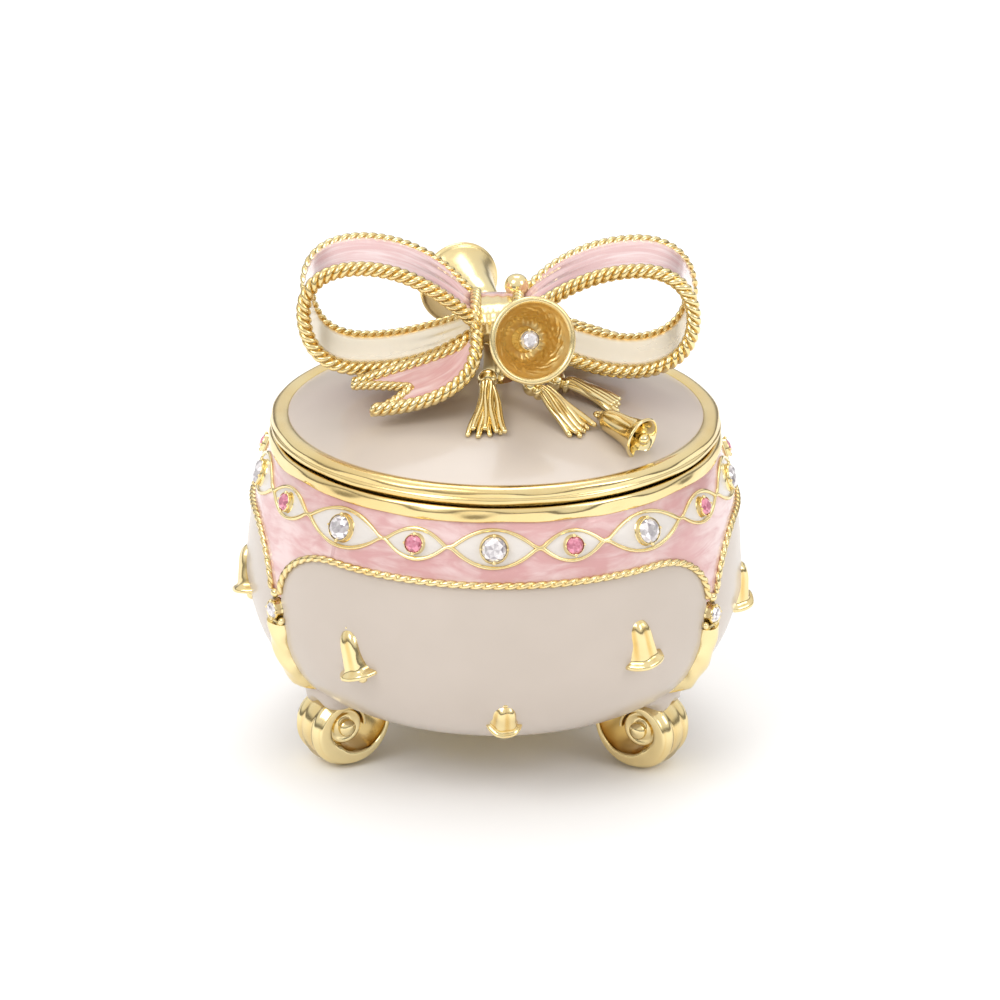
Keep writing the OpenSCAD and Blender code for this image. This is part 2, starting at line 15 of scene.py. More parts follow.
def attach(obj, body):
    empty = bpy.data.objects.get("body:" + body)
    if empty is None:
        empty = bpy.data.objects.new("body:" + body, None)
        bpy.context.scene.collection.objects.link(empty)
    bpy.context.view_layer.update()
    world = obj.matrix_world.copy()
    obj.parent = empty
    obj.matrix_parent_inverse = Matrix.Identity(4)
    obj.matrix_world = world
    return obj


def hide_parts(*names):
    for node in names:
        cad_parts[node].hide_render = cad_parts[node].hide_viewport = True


bl_info = {
    "name": "Enamelled trinket box",
    "version": (1, 0, 0),
    "blender": (4, 5, 0),
    "location": "View3D > Sidebar > Trinket box",
    "description": "Builds an enamelled trinket box with a ribbon bow on its lid",
    "category": "Add Mesh",
}

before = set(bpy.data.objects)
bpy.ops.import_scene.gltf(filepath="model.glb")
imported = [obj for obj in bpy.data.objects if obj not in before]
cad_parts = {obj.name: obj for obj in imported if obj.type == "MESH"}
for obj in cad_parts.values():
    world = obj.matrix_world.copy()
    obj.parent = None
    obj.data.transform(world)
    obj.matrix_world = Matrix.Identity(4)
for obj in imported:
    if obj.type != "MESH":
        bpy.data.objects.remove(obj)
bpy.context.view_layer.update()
TURN = 2 * math.pi
QUARTER = math.pi / 2
UP = np.array([0, 0, 1.0])
ALONG_X = np.array([1.0, 0, 0])
ALONG_Y = np.array([0, 1.0, 0])


def length(name, what, default):
    """A length property, in metres."""
    return FloatProperty(name=name, description=what, default=default, unit="LENGTH", precision=5)


def colour(name, what, default):
    """A colour property, linear red, green and blue."""
    return FloatVectorProperty(name=name, description=what, default=default, size=3, subtype="COLOR",
                               min=0.0, max=1.0)


class PotSizes(bpy.types.PropertyGroup):
    """Sizes of the pot and of what is set into it."""

    radius: length("Radius", "Largest radius of the pot", 0.0305)
    belly: length("Belly", "Height of the widest ring", 0.025)
    underside: length("Underside", "Height of the pot's underside above the table", 0.0055)
    fullness: FloatProperty(name="Fullness", description="Power of the lower half's curve", default=2.95)
    shoulder: FloatProperty(name="Shoulder", description="How fast the shoulder draws in, per millimetre",
                            default=0.0165)
    wall: length("Wall", "Thickness of the cast wall", 0.0015)
    band: length("Band", "Height of the middle of the crystal band", 0.0355)
    panel_top: length("Panel top", "Height of the top edge of the white panels", 0.0313)
    clear: length("Clear crystal", "Radius of a clear crystal", 0.0015)
    rose: length("Pink crystal", "Radius of a pink crystal", 0.00105)


class LidSizes(bpy.types.PropertyGroup):
    """Sizes of the lid."""

    radius: length("Dome radius", "Radius of the enamelled dome", 0.02645)
    rise: length("Dome rise", "Rise of the dome", 0.0047)
    foot: length("Dome edge", "Height of the dome's edge", 0.042)
    squareness: FloatProperty(name="Squareness", description="Power of the dome's curve", default=2.2)


class BowSizes(bpy.types.PropertyGroup):
    """Sizes of the bow."""

    width: length("Ribbon width", "Width of the ribbon between its ropes", 0.0096)
    thick: length("Ribbon thickness", "Thickness of the ribbon", 0.0009)
    rope: length("Rope radius", "Radius of the twisted rope along the ribbon's edges", 0.00092)


class Finishes(bpy.types.PropertyGroup):
    """Colours of the finishes."""

    gold: colour("Gold", "Champagne gold where it is bright", (0.88, 0.745, 0.415))
    # Painted shade: the gold laid into grooves, folds and hollows where shade falls, such as inside a bell.
    gold_in_shade: colour("Deep gold", "Gold in grooves and recesses", (0.72, 0.47, 0.14))
    # Painted reflection: the pale lining stands in for the bright surround that the gold inside the ribbon
    # reflects. The lining edge colour is painted shade along the ropes.
    lining: colour("Ribbon lining", "Pale gold inside the ribbon", (1.0, 0.95, 0.82))
    lining_edge_shade: colour("Lining edge", "Gold along the edges of the lining", (0.85, 0.52, 0.10))
    white: colour("White enamel", "Pearl-white enamel", (0.585, 0.507, 0.442))
    white_cloud: colour("Enamel cloud", "Greyer clouds in the white enamel", (0.54, 0.467, 0.403))
    pink: colour("Pink enamel", "Pearly pink enamel", (0.66, 0.365, 0.36))
    pink_pale: colour("Pink streak", "Pale streaks in the pink enamel", (0.80, 0.60, 0.59))
    clear: colour("Clear crystal", "Facets of the clear crystals", (0.90, 0.86, 0.87))
    rose: colour("Pink crystal", "Facets of the pink crystals", (0.86, 0.30, 0.42))
    nickel: colour("Nickel", "Hinge pin and magnets", (0.62, 0.61, 0.58))
    floor: colour("Floor", "Table top", (0.97, 0.97, 0.97))


class StageSettings(bpy.types.PropertyGroup):
    """Camera and light."""

    distance: length("Distance", "From the camera to what it looks at", 0.6)
    elevation: FloatProperty(name="Elevation", description="Camera's angle above the horizon",
                             default=math.radians(21.5), subtype="ANGLE")
    roll: FloatProperty(name="Roll", description="Camera's turn about its own axis",
                        default=math.radians(0.6), subtype="ANGLE")
    key: FloatProperty(name="Key light", description="Power of the main softbox", default=0.4, unit="POWER")
    sky: FloatProperty(name="Surround", description="Brightness of the white surround", default=0.95)


def mm(metres):
    """Metres as millimetres."""
    return 1000 * metres


# Surfaces: each is (points, faces, shade_and_tone, flow), with shade_and_tone the share of painted shade, 0
# on ridges and 1 in grooves; an even value gives a plain deeper tone ---


def grid(points, wrap_i=False, wrap_j=False, shade_and_tone=0.0, flow=None):
    """Four-sided faces between neighbouring points of a grid, closed along either direction if asked."""
    n, m = points.shape[:2]
    i, j = np.meshgrid(np.arange(n if wrap_i else n - 1), np.arange(m if wrap_j else m - 1), indexing="ij")
    i, j = i.ravel(), j.ravel()
    i2, j2 = (i + 1) % n, (j + 1) % m
    faces = np.stack([i * m + j, i2 * m + j, i2 * m + j2, i * m + j2], 1)
    depth = np.broadcast_to(shade_and_tone, (n, m)).ravel()
    along = np.zeros((n * m, 2)) if flow is None else np.asarray(flow).reshape(-1, 2)
    return points.reshape(-1, 3), faces, depth, along


def slab(outer, inner, wrap=False, flow=None):
    """A closed slab: the ring of each row runs over the outer surface and back over the inner one."""
    ring = np.concatenate([outer, inner[:, ::-1]], 1)
    if flow is not None:
        flow = np.concatenate([flow, flow[:, ::-1]], 1)
    points, faces, depth, along = grid(ring, wrap_i=wrap, wrap_j=True, flow=flow)
    if not wrap:
        n, m = outer.shape[:2]
        k = np.arange(m - 1)
        start = np.stack([k, k + 1, 2 * m - 2 - k, 2 * m - 1 - k], 1)
        faces = np.concatenate([faces, start, (n - 1) * 2 * m + start])
    return points, faces, depth, along


def revolve(profile, segments=64, wrap=False, shade_and_tone=0.0, wave=None):
    """A profile of (radius, height) turned about Z. wave(angle, radius, height) may bend it by angle."""
    profile = np.asarray(profile, float)
    angle = (TURN * np.arange(segments) / segments)[:, None]
    r, z = np.broadcast_to(profile[:, 0], (segments, len(profile))), profile[None, :, 1] + 0 * angle
    if wave is not None:
        r, z = wave(angle, r, z)
    points = np.stack([r * np.sin(angle), -r * np.cos(angle), z], 2)
    return grid(points, wrap_i=True, wrap_j=wrap, shade_and_tone=shade_and_tone)


def smooth_profile(corners, per=6, closed=False):
    """A Catmull-Rom curve through the corners of a profile."""
    p = np.asarray(corners, float)
    ends = (p[[-1]], p[:2]) if closed else (p[[0]], p[[-1]])
    q = np.concatenate([ends[0], p, ends[1]])
    t = (np.arange(per) / per)[:, None, None]
    a, b, c, d = q[:-3], q[1:-2], q[2:-1], q[3:]
    curve = 2 * b + (c - a) * t + (2 * a - 5 * b + 4 * c - d) * t**2 + (3 * b - a - 3 * c + d) * t**3
    curve = (0.5 * curve).transpose(1, 0, 2).reshape(-1, p.shape[1])
    return curve if closed else np.concatenate([curve, p[[-1]]])


def unit(v):
    """Vectors of length one."""
    return v / np.maximum(np.linalg.norm(v, axis=-1, keepdims=True), 1e-9)


def bezier(corners, t):
    """Points of a cubic Bezier curve, where t runs from 0 at its start to 1 at its end."""
    p = np.asarray(corners, float)
    return (1 - t) ** 3 * p[0] + 3 * (1 - t) ** 2 * t * p[1] + 3 * (1 - t) * t**2 * p[2] + t**3 * p[3]


def chain(curves, n=40):
    """Bezier curves joined end to end, each with n points."""
    t = np.linspace(0, 1, n + 1)[:-1, None]
    end = np.asarray(curves[-1][3], float)[None]
    return np.concatenate([bezier(corners, t) for corners in curves] + [end])


def resample(path, step, closed=False):
    """Points at equal distances along a path, and their distances from its start."""
    if closed:
        path = np.concatenate([path, path[:1]])
    s = np.concatenate([[0], np.cumsum(np.linalg.norm(np.diff(path, axis=0), axis=1))])
    n = max(4, round(s[-1] / step))
    at = np.linspace(0, s[-1], n + 1)
    if closed:
        at = at[:-1]
    return np.stack([np.interp(at, s, path[:, k]) for k in range(path.shape[1])], 1), at, s[-1]


def carry(path, up, section, closed=False):
    """A section of (side, up) offsets for each point of a path, carried along it."""
    if closed:
        t = unit(np.roll(path, -1, 0) - np.roll(path, 1, 0))
    else:
        t = unit(np.gradient(path, axis=0))
    side = unit(np.cross(t, up))
    lift = np.cross(side, t)
    return path[:, None] + side[:, None] * section[..., :1] + lift[:, None] * section[..., 1:]


def rounded(s, total, radius):
    """Share of its radius that a tube has near its ends, so that both ends are round."""
    near = np.minimum(s, total - s)
    return np.sqrt(np.clip(1 - (1 - np.minimum(near, radius) / radius) ** 2, 0, 1))


def tube(path, up, radius, sides=10, step=0.25, closed=False, taper=None):
    """A round rod along a path. taper(share of the length) scales its radius."""
    p, s, total = resample(np.asarray(path, float), step, closed)
    lift = up(p) if callable(up) else np.asarray(up, float)
    r = np.full(len(p), float(radius)) if closed else radius * rounded(s, total, radius)
    if taper is not None:
        r = r * taper(s / total)
    angle = TURN * np.arange(sides) / sides
    section = np.stack([np.cos(angle), np.sin(angle)], 1)
    return grid(carry(p, lift, r[:, None, None] * section, closed), wrap_i=closed, wrap_j=True)


def rope(path, up, radius, strands=3, pitch=3.15, depth=0.3, closed=False):
    """A twisted rope: strands side by side on a ring that turns once in each pitch along the path."""
    p, s, total = resample(np.asarray(path, float), pitch / 16, closed)
    lift = up(p) if callable(up) else np.asarray(up, float)
    sides = 7  # of each strand
    j = np.arange(strands * sides)
    hollow = np.abs(2 * ((j / sides) % 1) - 1)
    turns = round(total / pitch) / total if closed else 1 / pitch
    angle = TURN * (j / (strands * sides) + s[:, None] * turns)
    r = radius * (1 - depth * hollow**2.2) * (1 if closed else rounded(s, total, radius)[:, None])
    section = np.stack([r * np.cos(angle), r * np.sin(angle)], 2)
    # The hollows between the strands get painted shade.
    return grid(carry(p, lift, section, closed), wrap_i=closed, wrap_j=True, shade_and_tone=hollow**2 + 0 * angle)


def ellipsoid(centre, radii, rings=10, segments=16):
    """A ball with three radii."""
    a = np.linspace(0, math.pi, rings + 1)[:, None]
    b = TURN * np.arange(segments) / segments
    p = np.stack([np.sin(a) * np.cos(b), np.sin(a) * np.sin(b), np.cos(a) + 0 * b], 2)
    return grid(np.asarray(centre, float) + p * np.asarray(radii, float), wrap_j=True)


def moved(surface, axes, origin):
    """A surface placed by three axes, as rows, and an origin."""
    points, faces, depth, along = surface
    return points @ np.asarray(axes, float) + np.asarray(origin, float), faces, depth, along


def aimed(start, end):
    """Axes whose third points from start to end, and whose second is as near to up as it can be."""
    z = unit(np.asarray(end, float) - np.asarray(start, float))
    x = unit(np.cross([0, 0, 1.0], z))
    return np.stack([x, np.cross(z, x), z])


def build(name, surfaces, finish, body, replaces=(), crease=50, facets=None):
    """Joins surfaces into one piece with closed seams and its faces outwards, and puts it on its body."""
    counts = np.cumsum([0] + [len(s[0]) for s in surfaces])
    points = np.concatenate([s[0] for s in surfaces]) / 1000
    faces = [f for s, start in zip(surfaces, counts) for f in (np.asarray(s[1]) + start).tolist()]
    mesh = bpy.data.meshes.new(name)
    mesh.from_pydata(points.tolist(), [], faces)
    mesh.attributes.new("shade_and_tone", "FLOAT", "POINT").data.foreach_set(
        "value", np.concatenate([s[2] for s in surfaces]).astype(np.float32))
    flow = np.concatenate([s[3] for s in surfaces])
    flow = np.concatenate([flow, np.zeros((len(flow), 1))], 1).astype(np.float32)
    mesh.attributes.new("flow", "FLOAT_VECTOR", "POINT").data.foreach_set("vector", flow.ravel())
    if facets is not None:
        mesh.attributes.new("facet_glint", "FLOAT", "FACE").data.foreach_set("value", facets.astype(np.float32))
    shape = bmesh.new()
    shape.from_mesh(mesh)
    bmesh.ops.remove_doubles(shape, verts=shape.verts, dist=1e-6)
    bmesh.ops.recalc_face_normals(shape, faces=shape.faces)
    shape.to_mesh(mesh)
    shape.free()
    if crease is None:
        mesh.shade_flat()
    else:
        mesh.shade_smooth()
        mesh.set_sharp_from_angle(angle=math.radians(crease))
    piece = bpy.data.objects.new(name, mesh)
    bpy.context.scene.collection.objects.link(piece)
    mesh.materials.append(finish)
    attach(piece, body)
    if replaces:
        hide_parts(*replaces)


def gilt(name, surfaces, body, replaces=(), crease=50, look="gold"):
    """A gold piece."""
    build(name, surfaces, finish(look), body, replaces, crease)


# Shape of the pot and the lid --------------------------------------------------------------------------


def body_out(z):
    """Outer radius of the pot: a superellipse below its widest ring, a parabola above it."""
    pot = bpy.context.scene.trinket_pot
    r, belly, low, power = mm(pot.radius), mm(pot.belly), mm(pot.underside), pot.fullness
    z = np.asarray(z, float)
    drop = np.clip((belly - z) / (belly - low), 0, 0.9995)
    below, above = r * (1 - drop**power) ** (1 / power), r - pot.shoulder * (z - belly) ** 2
    return np.where(z < belly, below, above)


def rise(z):
    """Angle of the pot's outward normal above the horizon."""
    return -np.arctan((body_out(np.asarray(z) + 0.02) - body_out(np.asarray(z) - 0.02)) / 0.04)


def meridian(z, lift):
    """(radius, height) of a point at a lift from the pot's outer surface."""
    z = np.asarray(z, float)
    return np.stack([body_out(z) + lift * np.cos(rise(z)), z + lift * np.sin(rise(z))], -1)


def on_skin(azimuth, z, lift=0.0):
    """A point over the pot's surface, from an azimuth in degrees, a height and a lift."""
    a = np.radians(azimuth)
    m = meridian(z, lift)
    return np.stack(np.broadcast_arrays(m[..., 0] * np.sin(a), -m[..., 0] * np.cos(a), m[..., 1]), -1)


def outward(p):
    """Outward normals of the pot near points."""
    a, r = np.arctan2(p[:, 0], -p[:, 1]), rise(p[:, 2])
    return np.stack([np.cos(r) * np.sin(a), -np.cos(r) * np.cos(a), np.sin(r)], 1)


def seat(azimuth, z, lift=0.0, turn=0.0):
    """Axes and origin of a place on the pot: east, up along it and outwards. turn swings the first two."""
    a, r, t = math.radians(azimuth), float(rise(z)), math.radians(turn)
    east = np.array([math.cos(a), math.sin(a), 0])
    out = np.array([math.cos(r) * math.sin(a), -math.cos(r) * math.cos(a), math.sin(r)])
    up = np.cross(out, east)
    axes = np.stack([math.cos(t) * east + math.sin(t) * up, math.cos(t) * up - math.sin(t) * east, out])
    return axes, on_skin(azimuth, z, lift)


def dome(r):
    """Height of the lid's dome at a radius."""
    lid = bpy.context.scene.trinket_lid
    share = np.clip(np.asarray(r) / mm(lid.radius), 0, 1)
    return mm(lid.foot) + mm(lid.rise) * (1 - share**lid.squareness)


SEPARATORS = (60, 180, 300)
PANELS = {"front": 0, "left": -120, "right": 120}
STRAP_HALF = 1.9  # degrees that a strap covers to each side
CORNER_FROM = 40  # azimuth where a panel's top corner starts to round
CORNER_LOW = 23.7  # height where a panel's side reaches the strap
SEPARATOR_Z = 22.0  # height of the crystals between the panels
SEAT = -0.3  # lift of the inner side of what is laid on the pot
BAND_TOP = 38.75  # height of the pink band's upper edge
EYE = {"clear": (11.6, 2.15), "rose": (8.4, 1.7)}  # half the angle and half the height of a cell
CELLS = 18


def corner(z):
    """Azimuth of a panel's side: a quarter ellipse from the strap up to the top edge."""
    top = mm(bpy.context.scene.trinket_pot.panel_top)
    t = np.clip((np.asarray(z, float) - CORNER_LOW) / (top - CORNER_LOW), 0, 1)
    return CORNER_FROM + (60 - STRAP_HALF - CORNER_FROM) * np.sqrt(1 - t**2)


# Finishes ----------------------------------------------------------------------------------------------


class Number:
    """A number from a node. Python arithmetic on it adds Math nodes."""

    def __init__(self, paint, socket):
        self.paint, self.socket = paint, socket

    def __add__(self, other):
        return self.paint.maths("ADD", self, other)

    def __rsub__(self, other):
        return self.paint.maths("SUBTRACT", other, self)

    def __mul__(self, other):
        return self.paint.maths("MULTIPLY", self, other)


class Paint:
    """The nodes of one material."""

    def __init__(self, name):
        self.material = bpy.data.materials.new(name)
        self.material.use_nodes = True
        self.tree = self.material.node_tree
        self.tree.nodes.clear()

    def node(self, kind, settings=None, **values):
        """A node: its settings, then the values or links of its sockets, by name or number (n0, n1...)."""
        made = self.tree.nodes.new(kind)
        for key, value in (settings or {}).items():
            setattr(made, key, value)
        for key, value in values.items():
            is_number = key[0] == "n" and key[1:].isdigit()
            socket = made.inputs[int(key[1:])] if is_number else made.inputs[key.replace("_", " ")]
            value = value.socket if isinstance(value, Number) else value
            if isinstance(value, bpy.types.NodeSocket):
                self.tree.links.new(value, socket)
            else:
                socket.default_value = value
        return made

    def maths(self, operation, *terms):
        """A Math node."""
        inputs = {f"n{k}": term for k, term in enumerate(terms)}
        return Number(self, self.node("ShaderNodeMath", {"operation": operation}, **inputs).outputs[0])

    def place(self, scale=(1, 1, 1)):
        """Where the surface is on the object, in metres, scaled."""
        where = self.node("ShaderNodeTexCoord").outputs["Object"]
        return self.node("ShaderNodeMapping", None, Vector=where, Scale=scale).outputs[0]

    def noise(self, vector, scale, detail=2.0, roughness=0.5, distortion=0.0):
        """Cloudy noise, about 0.5."""
        made = self.node("ShaderNodeTexNoise", None, Vector=vector, Scale=scale, Detail=detail,
                         Roughness=roughness, Distortion=distortion)
        return Number(self, made.outputs[0])

    def spread(self, value, low, high):
        """A number from low to high, as 0 to 1."""
        made = self.node("ShaderNodeMapRange", {"interpolation_type": "SMOOTHSTEP"},
                         Value=value, From_Min=low, From_Max=high)
        return Number(self, made.outputs[0])

    def read(self, name):
        """A number from the mesh."""
        return Number(self, self.node("ShaderNodeAttribute", {"attribute_name": name}).outputs["Fac"])

    def mix(self, share, first, second):
        """A colour between two colours."""
        first, second = ((*c, 1.0) if isinstance(c, tuple) else c for c in (first, second))
        made = self.node("ShaderNodeMix", {"data_type": "RGBA"}, n0=share, n6=first, n7=second)
        return made.outputs[2]

    def bump(self, height, strength, distance):
        """A normal bent by a height, whose full range stands for a distance in metres."""
        made = self.node("ShaderNodeBump", None, Height=height, Strength=strength, Distance=distance)
        return made.outputs[0]

    def finish(self, **values):
        """The surface shader. Names of two or more words have an underscore for each space."""
        shader = self.node("ShaderNodeBsdfPrincipled", None, **values)
        self.node("ShaderNodeOutputMaterial", None, Surface=shader.outputs[0])
        return self.material


def shade(rgb):
    """A colour property as a tuple."""
    return tuple(rgb)


def gold_finish(name="champagne_gold", hammered=0.00003, dull=0.0):
    """Bright plated gold: soft casting waves, fine pitting, and painted shade in the grooves, where the
    gold is deeper and rougher.
    """
    look = bpy.context.scene.trinket_finish
    p = Paint(name)
    where = p.place()
    waves, cloud, pits = p.noise(where, 260, 2), p.noise(where, 90, 3), p.noise(where, 2600, 2, 0.6)
    shade_and_tone = p.read("shade_and_tone")
    # deep: random clouds of deeper gold plus the painted shade in grooves and recesses.
    deep = p.spread(cloud, 0.35, 0.7) * 0.35 + shade_and_tone * 0.65
    shine = p.mix(deep, shade(look.gold), shade(look.gold_in_shade))
    height = waves + pits * 0.12
    return p.finish(Base_Color=shine, Metallic=1.0,
                    Roughness=p.spread(cloud, 0.3, 0.75) * 0.12 + shade_and_tone * 0.1 + (0.09 + dull),
                    Normal=p.bump(height, 1.0, hammered))


def lining_finish():
    """Satin-polished gold inside the ribbon, painted pale and half non-metal to stand in for the bright
    reflections there, with painted shade in warmer gold along its edges.
    """
    look = bpy.context.scene.trinket_finish
    p = Paint("ribbon_lining_gold")
    # edge is the painted shade along the ropes: it warms the colour and raises the metal there.
    edge, cloud = p.read("shade_and_tone"), p.noise(p.place(), 110, 3)
    tone = p.mix(edge + cloud * 0.12, shade(look.lining), shade(look.lining_edge_shade))
    return p.finish(Base_Color=tone, Metallic=edge * 0.6 + 0.3,
                    Roughness=p.spread(cloud, 0.3, 0.7) * 0.1 + 0.22,
                    Normal=p.bump(cloud, 1.0, 0.00006))


def white_finish(name="pearl_white_enamel", lighter=0.0):
    """Glossy pearl-white enamel with faint clouds, a slightly sagging surface and a clear top coat."""
    look = bpy.context.scene.trinket_finish
    p = Paint(name)
    where = p.place()
    cloud = p.noise(where, 70, 3, 0.55)
    white, grey = (tuple(c + lighter * (1 - c) for c in rgb) for rgb in (look.white, look.white_cloud))
    tone = p.mix(p.spread(cloud, 0.15, 0.85), white, grey)
    return p.finish(Base_Color=tone, Roughness=cloud * 0.04 + 0.3,
                    Normal=p.bump(p.noise(where, 45, 1), 1.0, 0.0002),
                    Coat_Weight=0.4, Coat_Roughness=0.1, Coat_IOR=1.42)


def pink_finish(name, along, across):
    """Pearly pink enamel, brushed on in streaks that follow the ribbon or the band."""
    look = bpy.context.scene.trinket_finish
    p = Paint(name)
    flow = p.node("ShaderNodeAttribute", {"attribute_name": "flow"}).outputs["Vector"]
    stroke = p.node("ShaderNodeMapping", None, Vector=flow, Scale=(along, across, 1)).outputs[0]
    streak = p.noise(stroke, 1.0, 4, 0.6, 0.8)
    cloud = p.noise(p.place(), 120, 3, 0.6)
    pale = p.spread(streak * 0.65 + cloud * 0.35, 0.4, 0.63)
    tone = p.mix(pale, shade(look.pink), shade(look.pink_pale))
    height = streak * 0.5 + p.noise(p.place(), 90, 1)
    return p.finish(Base_Color=tone, Roughness=0.24 - pale * 0.08,
                    Normal=p.bump(height, 1.0, 0.00012), Coat_Weight=0.9, Coat_Roughness=0.04, Coat_IOR=1.5)


def crystal_finish(name, rgb, dark_reflection):
    """A cut crystal over foil: each facet has its own painted brightness standing in for reflections, under
    a hard clear surface.
    """
    p = Paint(name)
    facet_glint = p.read("facet_glint")
    # sparkle: painted glints, a fine noise that brightens the facets.
    sparkle = p.noise(p.place(), 2200, 1)
    tone = p.mix(p.spread(facet_glint + sparkle * 0.3, 0.1, 1.0), tuple(dark_reflection), tuple(rgb))
    return p.finish(Base_Color=tone, Metallic=p.spread(facet_glint, 0.2, 0.9) * 0.6, Roughness=0.06,
                    Coat_Weight=1.0, Coat_Roughness=0.02, Coat_IOR=1.7)


def nickel_finish():
    """Nickel plating with fine turning marks."""
    look = bpy.context.scene.trinket_finish
    p = Paint("nickel_plate")
    lines = p.noise(p.place((200, 4000, 4000)), 1.0, 2)
    tone = p.mix(lines, shade(look.nickel), (0.45, 0.44, 0.42))
    return p.finish(Base_Color=tone, Metallic=1.0, Roughness=lines * 0.2 + 0.2,
                    Normal=p.bump(lines, 0.3, 0.00001))


FINISHES = {}


def finish(name):
    """A finish, made when it is first asked for."""
    look = bpy.context.scene.trinket_finish
    makers = {
        "gold": gold_finish,
        "textured_gold": lambda: gold_finish("textured_gold", 0.00015, 0.1),
        "lining": lining_finish,
        "white": white_finish,
        "bright_white": lambda: white_finish("bright_white_enamel", 0.38),
        "band_pink": lambda: pink_finish("band_pink_enamel", 0.13, 0.5),
        "ribbon_pink": lambda: pink_finish("ribbon_pink_enamel", 0.1, 0.7),
        "clear": lambda: crystal_finish("clear_chaton", look.clear, (0.20, 0.17, 0.20)),
        "rose": lambda: crystal_finish("rose_chaton", look.rose, (0.30, 0.04, 0.09)),
        "nickel": nickel_finish,
    }
    if name not in FINISHES:
        FINISHES[name] = makers[name]()
    return FINISHES[name]


# Pot ---------------------------------------------------------------------------------------------------


def pot_casting():
    """The gold casting, turned from a section that follows the enamel outside and keeps the wall inside."""
    pot = bpy.context.scene.trinket_pot
    low, top = mm(pot.underside), BAND_TOP - 0.15
    turn = 1 - np.cos(np.linspace(0, QUARTER, 60))
    outer = meridian(low + 0.4 + (top - low - 0.4) * turn, -0.38)
    inner = meridian(low + 2.2 + (top - low - 2.2) * turn, -mm(pot.wall) - 0.3)[::-1]
    profile = np.concatenate([[[0, low + 0.3]], outer, inner, [[0, low + 2.15]]])
    gilt("pot_casting", [revolve(profile, 128)], "base", ["body_shell"])


def white_panels():
    """Each panel is a slab over azimuth and height, raised round the bells and notched for the cups."""
    pot = bpy.context.scene.trinket_pot
    low, top, cup = mm(pot.underside) + 0.6, mm(pot.panel_top), mm(pot.rose) + 0.5
    under = low + (20 - low) * (1 - np.cos(np.linspace(0, QUARTER, 56)))
    over = CORNER_LOW + (top - CORNER_LOW) * np.sin(np.linspace(0, QUARTER, 22))
    z = np.concatenate([under[:-1], np.linspace(20, CORNER_LOW, 24)[:-1], over])
    notch = np.sqrt(np.clip(cup**2 - (z - SEPARATOR_Z) ** 2, 0, None)) / body_out(z)
    closing = STRAP_HALF * np.clip((11.8 - z) / 0.8, 0, 1)  # under the aprons, where the straps end
    edge = np.minimum(corner(z), 60 - np.degrees(np.arcsin(notch))) + closing
    u = np.sin(np.linspace(-QUARTER, QUARTER, 161))
    height = (z - low) / (top - low)
    pillow = 0.14 * (1 - u[None] ** 10) * np.clip(1 - height[:, None] ** 16, 0, 1)
    for side, azimuth in PANELS.items():
        a = azimuth + edge[:, None] * u
        outer = on_skin(a, z[:, None], pillow + mounds(on_skin(a, z[:, None])))
        build(f"{side}_panel_enamel", [slab(outer, on_skin(a, z[:, None], SEAT))],
              finish("white"), "base", [f"panel_{side}"])


def pink_band():
    """The band is a slab over azimuth and height whose lower edge follows the panels' corners."""
    high = mm(bpy.context.scene.trinket_pot.panel_top)
    flat = np.linspace(-CORNER_FROM, CORNER_FROM, 61)
    bend = np.linspace(0, QUARTER, 26)[1:]
    reach = 60 - STRAP_HALF - CORNER_FROM
    side = CORNER_FROM + reach * np.sin(bend)
    low = CORNER_LOW + (high - CORNER_LOW) * np.cos(bend)
    azimuth = np.concatenate([flat, side, 120 - side[::-1]])
    azimuth = np.concatenate([azimuth + turn for turn in (0, 120, 240)])[:, None]
    lower = np.tile(np.concatenate([np.full(61, high), low, low[::-1]]), 3)[:, None]
    t = np.sin(np.linspace(0, QUARTER, 30)) ** 1.3
    z = lower + t * (BAND_TOP - lower)
    pillow = 0.1 * np.sqrt(np.clip(1 - (2 * t - 1) ** 6, 0, 1)) + 0 * z
    flow = np.stack([azimuth * math.pi / 180 * 30 + 0 * z, z], 2)
    band = slab(on_skin(azimuth, z, pillow), on_skin(azimuth, z, SEAT), wrap=True, flow=flow)
    build("pink_band_enamel", [band], finish("band_pink"), "base", ["band_enamel"])


def panel_ropes():
    """A two-strand rope up one side of each panel, over its top and down the other side."""
    top = mm(bpy.context.scene.trinket_pot.panel_top)
    bend = np.linspace(0.06, QUARTER, 40)
    z = CORNER_LOW + (top - CORNER_LOW) * np.sin(bend)
    side = corner(z)
    azimuth = np.concatenate([-side, np.linspace(-39, 39, 160), side[::-1]])
    height = np.concatenate([z, np.full(160, top), z[::-1]])
    for name, turn in PANELS.items():
        line = on_skin(azimuth + turn, height, 0.2)
        twisted = rope(line, outward, 0.48, strands=2, pitch=2.7, depth=0.36)
        gilt(f"{name}_panel_rope", [twisted], "base", [f"rope_{name}"], crease=80)


def straps():
    """Plain gold straps from the crystals between the panels to the feet, crowned and a little uneven."""
    z = np.linspace(10.9, 20.4, 70)[:, None]
    u = np.sin(np.linspace(-QUARTER, QUARTER, 15))[None]
    surfaces = []
    for azimuth in SEPARATORS:
        half = 3.3 + 0.2 * np.sin(1.1 * z + azimuth) + 0.1 * np.sin(2.7 * z)
        fade = np.sqrt(np.clip((z - 10.8) / 1.6, 0, 1))
        crown = 0.05 + fade * (1.15 * np.sqrt(1 - 0.98 * u**2) + 0.1 * np.sin(1.7 * z + 3 * u))
        surfaces.append(slab(on_skin(azimuth + half * u, z, crown), on_skin(azimuth + half * u, z, SEAT)))
    gilt("gold_straps", surfaces, "base", ["straps"])


SCROLL = np.array([22.4, 5.4])  # the scroll's middle: distance from the axis and height
FOOT_HALF = 3.3  # half the width of a foot


